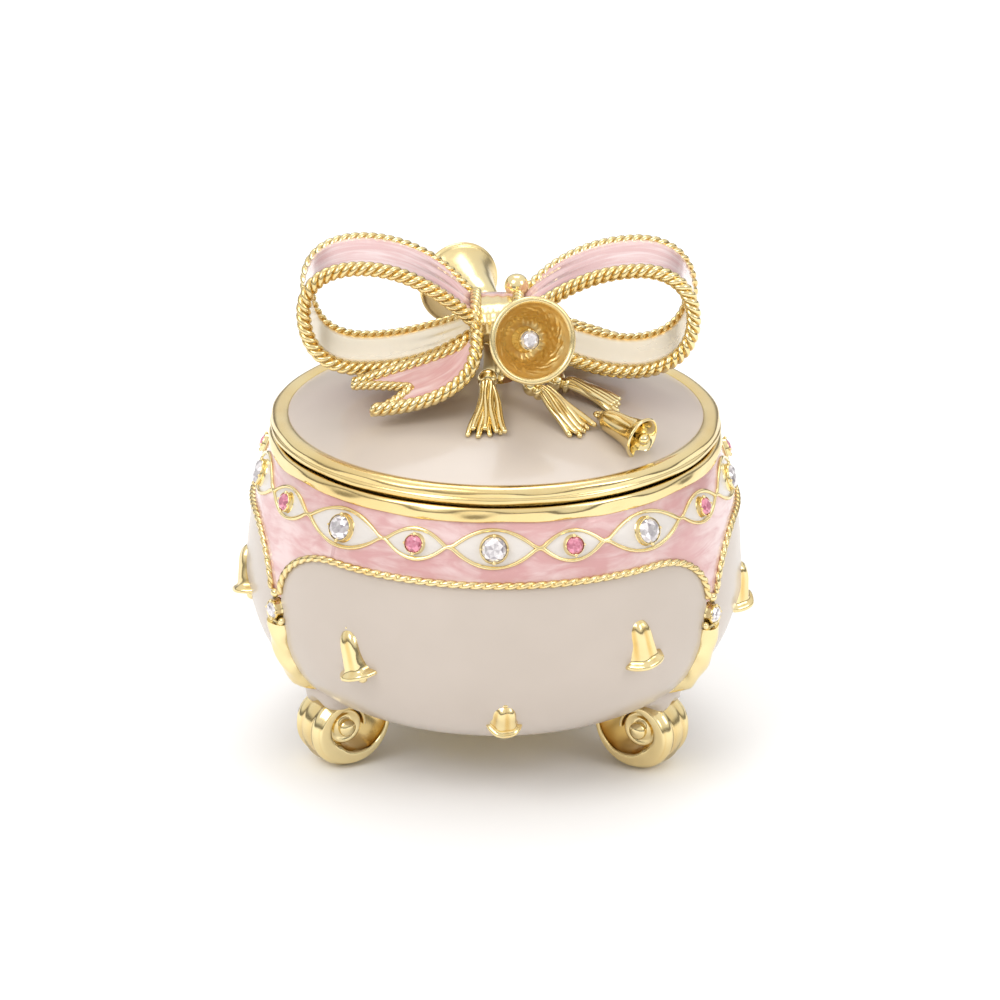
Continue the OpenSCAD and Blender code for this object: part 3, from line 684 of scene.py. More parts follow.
def scroll():
    """Distance from the axis, sideways place, height and painted shade of a ribbed band along a spiral."""
    q = np.linspace(0.0, 1.06, 120)
    angle = math.pi - TURN * q
    normal = np.stack([np.cos(angle), np.sin(angle)], 1)
    line = SCROLL + (2.6 + 0.6 * q + 2.4 * q * q)[:, None] * normal
    phi = TURN * np.arange(88) / 88
    c, s = np.cos(phi), np.sin(phi)
    w = FOOT_HALF * np.sign(c) * np.abs(c) ** 0.45
    rib = 0.17 * np.cos(TURN * w / 2.15) * (np.abs(w) < 3.0)
    crown = 0.5 * (1 - (w / FOOT_HALF) ** 2) + rib
    inward = np.interp(q, [0, 0.25, 0.5, 0.7, 0.88, 1.06], [0.6, 0.7, 1.5, 2.1, 0.8, 0.5])[:, None]
    t = np.where(s >= 0, (0.42 + crown) * np.abs(s) ** 0.45, -inward * np.abs(s) ** 0.3)
    grow = (np.clip(q / 0.3, 0.5, 1) * (1 - 0.4 * np.clip((q - 0.85) / 0.2, 0, 1)))[:, None]
    across = w[None] * (0.85 + 0.15 * np.clip(q / 0.4, 0, 1))[:, None]
    radial = line[:, None, 0] + normal[:, None, 0] * t * grow
    height = line[:, None, 1] + normal[:, None, 1] * t * grow
    # Painted shade: the scroll's underside, and the hollows between its ribs, get the shaded gold.
    under = (s < 0) & (np.abs(c) < 0.8)
    hollow = np.where(under, 1.0, np.clip(-3 * rib, 0, 0.5)) + 0 * q[:, None]
    return radial, across, np.maximum(height, 0), hollow


def feet():
    """Each foot is a scroll with a boss in its eye, under an enamel apron that drips on to it."""
    radial, across, height, hollow = scroll()
    depth = np.concatenate([hollow[:1], hollow, hollow[-1:]])
    half = smooth_profile([[0, 4.05], [0.6, 3.92], [1.05, 3.55], [1.12, 3.1], [0.95, 2.75], [1.4, 2.55],
                           [2.3, 2.5], [2.4, 0]], 5)
    boss = revolve(np.concatenate([half, half[-2::-1] * [1, -1]]), 36)
    for name, azimuth in (("left", -60), ("right", 60), ("back", 180)):
        a = math.radians(azimuth)
        out, east = np.array([math.sin(a), -math.cos(a), 0]), np.array([math.cos(a), math.sin(a), 0])
        band = radial[..., None] * out + across[..., None] * east + height[..., None] * UP
        first, last = (band[k].mean(1, keepdims=True) + 0 * band[:1] for k in (slice(1), slice(-1, None)))
        eye = moved(boss, [out, UP, east], (SCROLL[0] + 0.2) * out + (SCROLL[1] + 0.2) * UP)
        surfaces = [grid(np.concatenate([first, band, last]), wrap_j=True, shade_and_tone=depth), eye]
        gilt(f"{name}_scroll_foot", surfaces, "base", [f"foot_{name}"])
        points, *rest = ellipsoid([0, 0, 0], [3.0, 4.2, 2.4], 28, 48)
        drips = 1 + 0.16 * np.sin(1.7 * points[:, 1] + 0.7 + azimuth) * np.clip(-points[:, 2] - 0.6, 0, 1)
        apron = moved((points * drips[:, None], *rest), [out, east, UP], 23.1 * out + 10.2 * UP)
        build(f"{name}_foot_enamel", [apron], finish("white"), "base")


# Band of crystals --------------------------------------------------------------------------------------


def cell(i):
    """Kind, azimuth, half angle and half height of a cell of the band."""
    kind = "clear" if i % 2 == 0 else "rose"
    return kind, 360 / CELLS * i, *EYE[kind]


def cell_height(u, tall):
    """Half the height of a cell: a parabola that runs out in a short neck before the next cell."""
    return tall * np.clip(1 - (u / 0.93) ** 2, 0.04, None) - 0.02 * tall * np.abs(u) ** 20


def drawn_in(azimuth):
    """Azimuths of the band, a little crowded towards the middle of each panel, as hand-set stones are."""
    return azimuth - 1.2 * np.sin(np.radians(3 * np.asarray(azimuth, float)))


def cell_wires():
    """Two wires wave round the band, over and under the crystals, and change places between them."""
    band = mm(bpy.context.scene.trinket_pot.band)
    u = np.linspace(-1, 1, 33)[:-1]
    surfaces = []
    for first in (1, -1):
        azimuth, height = [], []
        for i in range(CELLS):
            _, centre, half, tall = cell(i)
            azimuth.append(centre + half * u)
            height.append(band + first * (-1) ** i * cell_height(u, tall))
        line = on_skin(drawn_in(np.concatenate(azimuth)), np.concatenate(height), 0.2)
        surfaces.append(tube(line, outward, 0.23, 10, 0.3, closed=True,
                             taper=lambda x: 1 + 0.12 * np.sin(130 * x) + 0.08 * np.sin(317 * x)))
    gilt("cell_wires", surfaces, "base", ["eye_wires"], crease=80)


def cell_enamel():
    """White enamel in each cell, between its two wires, higher in the middle."""
    band = mm(bpy.context.scene.trinket_pot.band)
    u, v = np.linspace(-0.97, 0.97, 29)[:, None], np.linspace(-1, 1, 11)[None]
    surfaces = []
    for i in range(CELLS):
        _, centre, half, tall = cell(i)
        z = band + v * 0.98 * cell_height(u, tall)
        lift = 0.1 + 0.16 * (1 - v**2) * (1 - u**4)
        azimuth = drawn_in(centre + (half - 0.2) * u + 0 * v)
        surfaces.append(slab(on_skin(azimuth, z, lift), on_skin(azimuth, z, -0.05)))
    build("cell_enamel", surfaces, finish("bright_white"), "base", ["eye_enamel"])


def cup(r, h):
    """A rolled cup with four claws bent over the crystal, the two above and below it the larger."""
    profile = smooth_profile([[0, 0], [r + 0.2, 0], [r + 0.17, 0.3 * h], [r + 0.16, h - 0.25],
                              [r + 0.12, h - 0.08], [r + 0.05, h - 0.06], [r + 0.02, h - 0.25],
                              [r + 0.01, h - 0.42], [0, h - 0.45]], 4)
    surfaces = [revolve(profile, 40)]
    for k in range(4):
        a, big = TURN * k / 4, 0.25 if k % 2 else 0.16
        surfaces.append(ellipsoid([(r + 0.12) * math.cos(a), (r + 0.12) * math.sin(a), h - 0.06],
                                  [big, big, 0.22], 6, 10))
    return surfaces


def crystal(r):
    """A cut crystal: table in eight wedges, star facets, kites, girdle facets and a short cone below."""
    eight, sixteen = TURN * np.arange(8) / 8, TURN * np.arange(16) / 16

    def ring(angles, radius, z):
        return np.stack([radius * np.cos(angles), radius * np.sin(angles), np.full(len(angles), z)], 1)

    top = 0.3 + 0.4 * r
    points = np.concatenate([[[0, 0, top], [0, 0, -0.25 * r]], ring(eight, 0.5 * r, top),
                             ring(eight + TURN / 16, 0.78 * r, 0.3 + 0.27 * r), ring(sixteen, r, 0.3),
                             ring(sixteen, r, 0.0)])
    k = np.arange(8)
    after = (k + 1) % 8
    table, bezel, girdle, low = 2 + k, 10 + k, 18 + 2 * k, 34 + 2 * k
    mid, far = girdle + 1, 18 + 2 * after
    faces = np.concatenate([
        np.stack([0 * k, table, 2 + after], 1), np.stack([table, bezel, 2 + after], 1),
        np.stack([bezel, 10 + after, 2 + after], 1), np.stack([bezel, far, 10 + after], 1),
        np.stack([bezel, girdle, mid], 1), np.stack([bezel, mid, far], 1),
        np.stack([girdle, low, low + 1], 1), np.stack([girdle, low + 1, mid], 1),
        np.stack([mid, low + 1, 34 + 2 * after], 1), np.stack([mid, 34 + 2 * after, far], 1),
        np.stack([low, 1 + 0 * k, low + 1], 1), np.stack([low + 1, 1 + 0 * k, 34 + 2 * after], 1)])
    return points, faces, np.zeros(len(points)), np.zeros((len(points), 2))


def crystals(name, places, r, kind, node, seed, body="base"):
    """Crystals at several places. Each facet has painted brightness standing in for reflections, the
    table's wedges light and dark in turn.
    """
    draw = np.random.default_rng(seed)
    surfaces, facets = [], []
    for axes, origin in places:
        stone = crystal(r)
        surfaces.append(moved(stone, axes, origin))
        # Painted reflections: each facet gets a random brightness, the table's wedges light and dark in
        # turn.
        tone = draw.uniform(0.15, 1.0, len(stone[1]))
        tone[:8] = np.where(np.arange(8) % 2, 0.45, 0.95) + draw.uniform(-0.2, 0.1, 8)
        facets.append(tone)
    build(name, surfaces, finish(kind), body, [node], crease=None, facets=np.concatenate(facets))


def band_crystals():
    """The nine clear and nine pink crystals of the band, and their cups."""
    pot = bpy.context.scene.trinket_pot
    band = mm(pot.band)
    for kind, node, r, slot in (("clear", "clear", mm(pot.clear), "clear_crystal"),
                                ("rose", "pink", mm(pot.rose), "pink_crystal")):
        places = [float(drawn_in(cell(i)[1])) for i in range(CELLS) if cell(i)[0] == kind]
        cups = [moved(s, *seat(a, band, 0.05)) for a in places for s in cup(r, 0.95)]
        gilt(f"{node}_crystal_cups", cups, "base", [f"cups_{node}"])
        crystals(f"{node}_band_crystals", [seat(a, band, 0.57) for a in places], r, kind,
                 f"crystals_{node}", 7 if kind == "clear" else 8)


def separator_crystals():
    """Crystals in raised cups between the panels, each with a bead above it and a crescent below."""
    r = mm(bpy.context.scene.trinket_pot.rose)
    bead = ellipsoid([0, 2.15, 0.25], [0.62, 0.55, 0.5], 10, 16)
    a = np.linspace(math.radians(200), math.radians(340), 30)
    rod = tube(np.stack([1.9 * np.cos(a), 1.9 * np.sin(a), 0.25 + 0 * a], 1), UP, 0.42, 12, 0.12)
    surfaces = []
    for azimuth in SEPARATORS:
        surfaces += [moved(s, *seat(azimuth, SEPARATOR_Z, SEAT)) for s in cup(r, 1.22)]
        surfaces += [moved(s, *seat(azimuth, SEPARATOR_Z)) for s in (bead, rod)]
    gilt("separator_cups_gold", surfaces, "base", ["separator_cups"])
    crystals("separator_chatons", [seat(a, SEPARATOR_Z, 0.47) for a in SEPARATORS], r, "clear",
             "separator_crystals", 9)


# Bells -------------------------------------------------------------------------------------------------


def small_bell(h, r, waist):
    """A small pleated bell, crown up: bead, round shoulder, waist, flared mouth with a lip, clapper."""
    narrow = waist * r
    mouth = np.array([[0, 0.07], [0.8, 0.07], [0.96, 0.01], [1.06, 0.03], [1.03, 0.09]]) * [r, h]
    body = np.array([[1.08, 0.3], [1, 0.46], [0.95, 0.62], [0.84, 0.75], [0.6, 0.86], [0.26, 0.92],
                     [0, 0.93]]) * [narrow, h]
    flare = [[0.45 * r + 0.5 * narrow, 0.16 * h]]
    profile = smooth_profile(np.concatenate([mouth, flare, body]), 5)

    def pleat(angle, z):
        return np.cos(6 * angle + 2.2) * np.clip(np.sin(math.pi * np.clip(z / h, 0, 1)), 0, 1) ** 0.7

    def folds(angle, radius, z):
        return radius * (1 + 0.07 * pleat(angle, z)), z

    angle = (TURN * np.arange(72) / 72)[:, None]
    # Painted shade in the folds of the pleats.
    depth = np.clip(-pleat(angle, profile[None, :, 1]), 0, 1)
    return [revolve(profile, 72, shade_and_tone=depth, wave=folds),
            ellipsoid([0, 0, 0.95 * h], [0.3 * narrow, 0.3 * narrow, 0.07 * h], 8, 14),
            ellipsoid([0.1 * r, -0.1 * r, -0.04 * h], [0.27 * r, 0.27 * r, 0.3 * r], 8, 14)]


def bell_places():
    """Azimuth, height, turn, lift and mouth offset of each bell: two high and one low on each panel."""
    places = []
    for azimuth in PANELS.values():
        places += [(azimuth - 33.6, 20.9, 15, -0.3, -3.3), (azimuth + 35.3, 22.6, 13, -0.3, -3.3),
                   (azimuth + 3, 13.9, 0, -0.2, -2.2)]
    return places


WALL_DEPTH = 1.2  # how far a bell's back reaches into the pot's wall


def relief_bells():
    """Bells half sunk in the enamel, mouth down, with their backs cut flat inside the wall."""
    upper, lower = [], []
    for k, (azimuth, z, turn, lift, mouth) in enumerate(bell_places()):
        axes, origin = seat(azimuth, z, lift, turn)
        upright = np.stack([axes[0], -axes[2], axes[1]])
        bell = small_bell(4.4, 2.05, 0.8) if k % 3 == 2 else small_bell(6.5, 2.5, 0.68)
        for points, *rest in bell:
            points[:, 1] = np.minimum(points[:, 1], WALL_DEPTH + lift)
            placed = moved((points, *rest), upright, origin + mouth * axes[1])
            (lower if k % 3 == 2 else upper).append(placed)
    gilt("upper_relief_bells", upper, "base", ["bells_upper"])
    gilt("lower_relief_bells", lower, "base", ["bells_lower"])


def mounds(points):
    """Height of the enamel drawn up round the relief bells: a bell curve of the distance from each."""
    lift = np.zeros(points.shape[:-1])
    for k, (azimuth, z, turn, _, _) in enumerate(bell_places()):
        axes, origin = seat(azimuth, z, 0, turn)
        east, up, out = np.moveaxis((points - origin) @ axes.T, -1, 0)
        tall = 2.3 if k % 3 == 2 else 3.0
        near = np.exp(-((east / 2.6) ** 2) - ((up + 0.3) / tall) ** 2) * (np.abs(out) < 6)
        lift = np.maximum(lift, 0.5 * near)
    return lift


# Rims and lid ------------------------------------------------------------------------------------------


def uneven(amount):
    """Softly uneven edges, as on a hand-finished casting: sums of sines round the rim."""

    def wave(angle, r, z):
        low = np.clip(39.0 - z, 0, 0.8)
        drip = 0.5 * np.sin(7 * angle + 1) + 0.35 * np.sin(13 * angle + 2) + 0.25 * np.sin(23 * angle)
        bumps = np.sin(11 * angle + 3 * z) + 0.6 * np.sin(19 * angle - 4 * z + 1)
        outer = np.clip((r - 26) / 1.5, 0, 1)
        return r + amount * 0.05 * bumps * outer, z + amount * 0.3 * drip * low * outer

    return wave


def rims():
    """The pot's rim rolls over the top of the pink band. The lid's rim has two beads and a groove."""
    toned = 0.25  # a slightly deeper gold than the ornaments
    pot_rim = smooth_profile([[24.6, 38.8], [26.9, 38.7], [27.5, 38.42], [27.9, 38.52], [28.0, 39.0],
                              [27.97, 39.6], [27.8, 40.1], [27.4, 40.3], [26.0, 40.3], [24.7, 40.3],
                              [24.6, 39.5]], 5, closed=True)
    lid_rim = smooth_profile([[24.7, 40.95], [26.0, 40.7], [27.3, 40.63], [27.7, 40.82], [27.8, 41.25],
                              [27.62, 41.55], [27.66, 41.85], [27.5, 42.3], [27.0, 42.62], [26.4, 42.66],
                              [25.8, 42.52], [25.55, 42.3], [25.6, 41.8], [24.8, 41.25]], 5, closed=True)
    for name, profile, amount, body, node in (("pot", pot_rim, 1, "base", "body_rim"),
                                              ("lid", lid_rim, 0.8, "lid", "lid_rim")):
        ring = revolve(profile, 180, wrap=True, shade_and_tone=toned, wave=uneven(amount))
        gilt(f"{name}_rim_gold", [ring], body, [node])


def lid_dome():
    """The dome's enamel outside, and the gold casting under it with the ring that drops into the mouth."""
    lid = bpy.context.scene.trinket_lid
    r = mm(lid.radius) * np.sin(np.linspace(0, QUARTER, 60))
    profile = np.concatenate([np.stack([r, dome(r)], 1), np.stack([r, dome(r) - 0.28], 1)[::-1]])
    enamel = revolve(profile, 144)
    build("lid_enamel_dome", [enamel], finish("white"), "lid", ["lid_enamel"])
    ring, low, seat_z, edge = 24.25, 39.5, 41.25, mm(lid.radius) - 0.1
    out = edge * np.sin(np.linspace(0, QUARTER, 40))
    hollow = (ring - 0.7) * np.sin(np.linspace(QUARTER, 0, 40))
    inside = seat_z + (mm(lid.rise) - 1.2) * (1 - (hollow / ring) ** lid.squareness)
    step = [[edge, seat_z], [ring, seat_z], [ring, low + 0.2], [ring - 0.15, low], [ring - 0.5, low],
            [ring - 0.7, low + 0.2]]
    profile = np.concatenate([np.stack([out, dome(out) - 0.33], 1), step, np.stack([hollow, inside], 1)])
    gilt("lid_casting", [revolve(profile, 128)], "lid", ["lid_shell"], crease=35)


# Bow ---------------------------------------------------------------------------------------------------

LOOPS = {
    "left": [[[-2.4, 54.9], [-5.6, 58.6], [-9.8, 62.2], [-15.9, 62.5]],
             [[-15.9, 62.5], [-20.9, 62.6], [-23.6, 60.3], [-23.4, 56.4]],
             [[-23.4, 56.4], [-23.2, 52.3], [-20.9, 49.5], [-15.9, 49.7]],
             [[-15.9, 49.7], [-11, 49.8], [-6.5, 51.4], [-2.4, 53.9]]],
    "right": [[[2.4, 55.0], [6.0, 58.9], [10.5, 62.4], [17.3, 62.6]],
              [[17.3, 62.6], [21.6, 62.6], [23.9, 60.0], [23.9, 56.2]],
              [[23.9, 56.2], [23.9, 52.4], [21.0, 49.6], [16.0, 49.7]],
              [[16.0, 49.7], [11.5, 49.8], [6.5, 52.2], [2.4, 54.0]]],
}
KNOT_HALF = 2.6
KNOT_Z = 54.5
TAIL_BACK = [[-3.4, -7.2, 53.2], [-6.5, -7.2, 51.5], [-10.5, -7.3, 50.4], [-17.6, -7.6, 48.0]]
TAIL_FRONT = [[-2.5, -7.8, 55.2], [-1.6, -12.5, 50.2], [-6.5, -14.2, 47.6], [-15.2, -12.4, 46.4]]


def loops():
    """Each loop is a ribbon carried round a curve: pink outside, gold inside, pleated towards the knot."""
    bow = bpy.context.scene.trinket_bow
    half, thick = mm(bow.width) / 2, mm(bow.thick) / 2
    v = np.linspace(-1, 1, 25)[None]
    for side, curves in LOOPS.items():
        flat = chain(curves)
        flat = flat[np.abs(flat[:, 0]) > KNOT_HALF - 0.4]
        path, s, total = resample(flat, 0.45)
        t = unit(np.gradient(path, axis=0))
        normal = np.stack([t[:, 1], -t[:, 0]], 1)
        outermost = len(path) // 2
        normal *= np.sign(normal[outermost] @ (path[outermost] - path.mean(0)))
        near = np.minimum(s, total - s)[:, None]
        pleat = 0.32 * np.exp(-((near / 5.5) ** 2)) * np.cos(TURN * v * 1.5 + 0.4 * s[:, None])
        dish = -0.1 * (1 - v**2)
        pinch = 1 - 0.3 * np.exp(-((near / 4.5) ** 2))

        def surface(lift):
            xz = path[:, None] + normal[:, None] * lift[..., None]
            return np.stack([xz[..., 0], half * 1.06 * v * pinch + 0 * lift, xz[..., 1]], 2)

        flow = np.stack([s[:, None] + 0 * v, half * v + 0 * s[:, None]], 2)
        enamel = slab(surface(thick + dish + pleat), surface(0.05 + 0 * pleat), flow=flow)
        build(f"{side}_loop_enamel", [enamel], finish("ribbon_pink"), "lid",
              [f"bow_loop_{side}"])
        lining, faces, _, along = slab(surface(0.12 + 0 * pleat), surface(-thick - 0.5 * pleat))
        # Painted shade: the lining turns warmer towards the ropes at its edges.
        depth = np.clip(np.abs(lining[:, 1]) / half - 0.72, 0, 0.3) / 0.3
        gilt(f"{side}_loop_gold", [(lining, faces, depth, along)], "lid", look="lining")
        ropes = [rope(np.stack([path[:, 0], pinch[:, 0] * y, path[:, 1]], 1), ALONG_Y, mm(bow.rope) * 1.03)
                 for y in (-half - 0.8, half + 0.8)]
        gilt(f"{side}_loop_ropes", ropes, "lid", [f"loop_ropes_{side}"], crease=80)


def knot():
    """The knot: a hammered gold band of a rounded section between two ropes, with enamel over its back."""
    deep, tall = 4.3, 2.5

    def section(angle):
        c, s = np.cos(angle), np.sin(angle)
        return np.stack([deep * np.sign(s) * np.abs(s) ** 0.8, tall * np.sign(c) * np.abs(c) ** 0.8], 1)

    a = TURN * np.arange(120) / 120
    ring = section(a)
    x = np.linspace(-KNOT_HALF, KNOT_HALF, 27)[:, None]
    swell = 1.0 + 0.018 * np.cos(TURN * x / 1.3) + 0.02 * np.sin(9 * a + 2 * x) * np.cos(5 * a - 3 * x)
    points = np.stack([x + 0 * a, swell * ring[:, 0], KNOT_Z + swell * ring[:, 1]], 2)
    caps = [points.mean(1, keepdims=True)[k] + 0 * points[k] for k in (0, -1)]
    closed = np.concatenate([caps[0][None], points, caps[1][None]])
    gilt("knot_gold", [grid(closed, wrap_j=True)], "lid", look="textured_gold")

    b = np.linspace(0.15, 2.6, 60)
    back = section(b)
    across = np.linspace(-2.0, 2.0, 15)[None]
    rounded_up = 1.06 + 0.03 * np.sqrt(1 - (across / 2.01) ** 2)

    def layer(scale):
        return np.stack([across + 0 * b[:, None], scale * back[:, :1], KNOT_Z + scale * back[:, 1:]], 2)

    flow = np.stack([6 * b[:, None] + 0 * across, across + 0 * b[:, None]], 2)
    enamel = slab(layer(rounded_up), layer(0.97 + 0 * across), flow=flow)
    build("knot_enamel", [enamel], finish("ribbon_pink"), "lid", ["bow_knot"])
    ropes = [rope(np.stack([0 * a + x, 1.03 * ring[:, 0], KNOT_Z + 1.03 * ring[:, 1]], 1), ALONG_X, 0.72,
                  closed=True) for x in (-KNOT_HALF, KNOT_HALF)]
    gilt("knot_rope_rings", ropes, "lid", ["knot_ropes"], crease=80)
    post = smooth_profile([[0, 46.2], [2.6, 46.3], [1.9, 47.1], [1.6, 48.4], [1.7, 50.5], [2.2, 52],
                           [0, 53]], 5)
    gilt("bow_post_gold", [revolve(post, 40)], "lid", ["bow_post"])


def tails():
    """Each tail is a ribbon between two edge curves, cut back in a notch, with ropes along its edges."""
    v = np.linspace(0, 1, 25)[None]
    u = np.linspace(0, 1, 60)[:, None]
    reach = 1 - 0.3 * (1 - np.abs(2 * v - 1))
    s = (u * reach)[..., None]
    middle = bezier(TAIL_BACK, s) * (1 - v[..., None]) + bezier(TAIL_FRONT, s) * v[..., None]
    du, dv = np.gradient(middle, axis=0), np.gradient(middle, axis=1)
    up = unit(np.cross(du, dv))
    up = up * np.sign(up[..., 2:])
    dish = (0.16 * (2 * v - 1) ** 2 + 0 * u)[..., None]
    flow = np.stack([16 * s[..., 0], 7 * v + 0 * u], 2)
    pink = slab(middle + up * (0.3 + dish), middle + up * 0.02, flow=flow)
    gold = slab(middle + up * 0.08, middle - up * 0.55)
    edge_back, edge_front = (bezier(edge, u) + 0.45 * UP for edge in (TAIL_BACK, TAIL_FRONT))
    notch = middle[-1] + up[-1] * 0.25
    ropes = [rope(edge_back, UP, 0.75), rope(edge_front, UP, 0.9), rope(notch, UP, 0.62, 3, 2.6)]
    for name, sign in (("front", 1), ("back", -1)):
        axes, middle_of_lid = np.diag([sign, sign, 1.0]), np.zeros(3)
        build(f"{name}_tail_enamel", [moved(pink, axes, middle_of_lid)], finish("ribbon_pink"), "lid",
              [f"bow_tail_{name}"])
        gilt(f"{name}_tail_gold", [moved(gold, axes, middle_of_lid)], "lid")
        gilt(f"{name}_tail_ropes", [moved(r, axes, middle_of_lid) for r in ropes], "lid",
             [f"tail_ropes_{name}"], crease=80)


def open_bells():
    """An open bell on each side of the knot: a rolled lip, a beaten inside, and a crystal on a stem."""
    outside = smooth_profile([[0, -3.4], [1.5, -3.3], [1.3, -1.6], [1.6, -0.2], [2.1, 0.7], [2.6, 2.2],
                              [3.2, 4.2], [4.1, 6.5], [4.75, 7.5], [5.15, 7.75], [5.32, 8.1], [5.15, 8.45],
                              [4.8, 8.5], [4.55, 8.25]], 6)
    inside = smooth_profile([[4.55, 8.25], [4.3, 7.8], [3.7, 6.9], [2.9, 5.3], [2.2, 4.4], [0, 4.2]], 18)
    cut = len(outside)

    def beaten(angle, radius, height):
        r, z = radius[:, cut:], height[:, cut:]
        strong = np.clip((r - 0.8) / 0.8, 0, 1) * np.clip((4.2 - r) / 0.5, 0, 1)
        knobs = np.sin(13 * angle + 1.8 * np.sin(2.3 * z)) * np.sin(4.2 * z + 1.3 * np.cos(4 * angle))
        dents = r + strong * (0.11 * knobs + 0.07 * np.sin(23 * angle - 6 * z) * np.cos(7 * z))
        return np.concatenate([radius[:, :cut], dents], 1), height

    # Painted shade over the whole inside of the bell.
    depth = np.concatenate([np.zeros(cut), np.full(len(inside) - 1, 0.6)])
    shape = revolve(np.concatenate([outside, inside[1:]]), 160, shade_and_tone=depth, wave=beaten)
    neck = smooth_profile([[0, 4.0], [1.7, 4.1], [1.1, 4.8], [0.95, 5.4], [1.2, 6.0], [0, 6.1]], 5)
    stem = revolve(neck, 24)
    holder = [moved(s, np.eye(3), 6.0 * UP) for s in cup(1.12, 0.9)]
    for name, foot, aim in (("front", (2.3, -6.9, 54.3), (0.25, -0.92, 0.29)),
                            ("back", (-1.4, 6.6, 54.0), (-0.42, 0.90, 0.02))):
        foot = np.array(foot)
        axes = aimed(foot, foot + aim)
        gilt(f"{name}_bell_gold", [moved(shape, axes, foot)], "lid", [f"bell_{name}"], look="textured_gold")
        gilt(f"{name}_bell_holder", [moved(s, axes, foot) for s in [stem, *holder]], "lid",
             [f"bell_cup_{name}"])
        crystals(f"{name}_bell_chaton", [(axes, foot + 6.5 * axes[2])], 1.12, "clear",
                 f"bell_crystal_{name}", 11, "lid")


def knot_bead():
    """A round bead on a collared neck, on top of the knot."""
    ball = smooth_profile([[0, -2.6], [1.1, -2.5], [0.8, -1.7], [0.75, -1.4], [1.15, -1.0], [1.5, -0.1],
                           [1.25, 0.85], [0.7, 1.35], [0, 1.5]], 6)
    gilt("knot_bead_gold", [moved(revolve(ball, 40), np.eye(3), [2.4, 2.7, 57.7])], "lid", ["knot_bead"])


# Tassels and the loose bell ----------------------------------------------------------------------------


def tassel(start, end, spread, seed):
    """A turned head and collar, then tapering strands that fan out and come down on the dome."""
    start, end = np.asarray(start, float), np.asarray(end, float)
    axes = aimed(start, end)
    long = float(np.linalg.norm(end - start))
    head = smooth_profile([[0, -0.5], [0.8, -0.3], [1.25, 0.5], [1.1, 1.2], [0.7, 1.55], [1.05, 1.85],
                           [1.05, 2.2], [0.7, 2.5], [0, 2.6]], 5)
    surfaces = [moved(revolve(head, 28), axes, start)]
    draw = np.random.default_rng(seed)
    t = np.linspace(0, 1, 30)[:, None]
    for k, place in enumerate(np.linspace(-1, 1, 8)):
        layer = (k % 2) * 0.5
        across = place * (0.5 + (spread - 0.5) * t**1.25) + 0.16 * np.sin(7 * t + draw.uniform(0, TURN))
        down = 2.1 + (long - 2.1 + 0.9 * draw.uniform(-0.6, 0.6)) * t
        line = start + axes[2] * down + axes[0] * across
        ground = dome(np.hypot(line[:, 0], line[:, 1]))[:, None] + 0.3 + layer
        own = line[:, 2:] + 0.45 + layer - 0.25 * abs(place)
        rest = np.clip((t - 0.1) / 0.8, 0, 1) ** 1.5
        line[:, 2:] = np.maximum(own * (1 - rest) + ground * rest, ground)
        surfaces.append(tube(line, UP, 0.46, 9, 0.2, taper=lambda x: 0.75 + 0.4 * x - 0.5 * x**6))
    return surfaces


def tassels():
    """The three cast tassels."""
    for name, start, end, spread, seed in (("left", [-1, -7.4, 49.6], [-1, -16.6, 46.3], 2.3, 21),
                                           ("middle", [4, -8.4, 49], [10.6, -14.6, 46.2], 1.9, 22),
                                           ("right", [6.8, -4.2, 48], [15.0, -6.8, 46.2], 1.5, 23)):
        strands = tassel(start, end, spread, seed)
        gilt(f"{name}_tassel_gold", strands, "lid", [f"tassel_{name}"], crease=70)


def loose_bell():
    """The bell that lies on the lid: crown loop, waisted body, flared lip and a clapper ball."""
    start, end = np.array([12.4, -11.6, 46.3]), np.array([18.0, -16.6, 44.9])
    axes = aimed(start, end)
    profile = smooth_profile([[0, 0.2], [0.6, 0.25], [0.75, 0.8], [1.25, 1.35], [1.5, 2.4], [1.72, 4.4],
                              [2.15, 6], [2.62, 6.9], [2.66, 7.15], [2.45, 7.25], [2.1, 6.9], [1.6, 5.8],
                              [1.2, 4.2], [0, 3.6]], 6)
    a = TURN * np.arange(28) / 28
    loop = np.stack([0.5 * np.cos(a), 0 * a, 0.1 + 0.5 * np.sin(a)], 1)
    bell = [revolve(profile, 64), tube(loop, ALONG_Y, 0.24, 10, 0.12, closed=True)]
    gilt("loose_bell_gold", [moved(s, axes, start) for s in bell], "lid", ["lid_bell"])
    clapper = [revolve(smooth_profile([[0, 3.7], [0.3, 3.8], [0.25, 6], [0.3, 6.6], [0, 6.7]], 4), 16),
               ellipsoid([0, 0, 7.15], [0.72, 0.72, 0.78], 12, 20)]
    gilt("loose_bell_clapper", [moved(s, axes, start) for s in clapper], "lid", ["lid_bell_clapper"])


def carried_over():
    """Finishes for the frame's own pieces that stay: hinge, pin and magnets."""
    for node, kind in (("hinge_body", "gold"), ("hinge_lid", "gold"), ("hinge_pin", "nickel"),
                       ("magnet_body", "nickel"), ("magnet_lid", "nickel")):
        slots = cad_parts[node].data.materials
        slots.clear()
        slots.append(finish(kind))


# Stage -------------------------------------------------------------------------------------------------


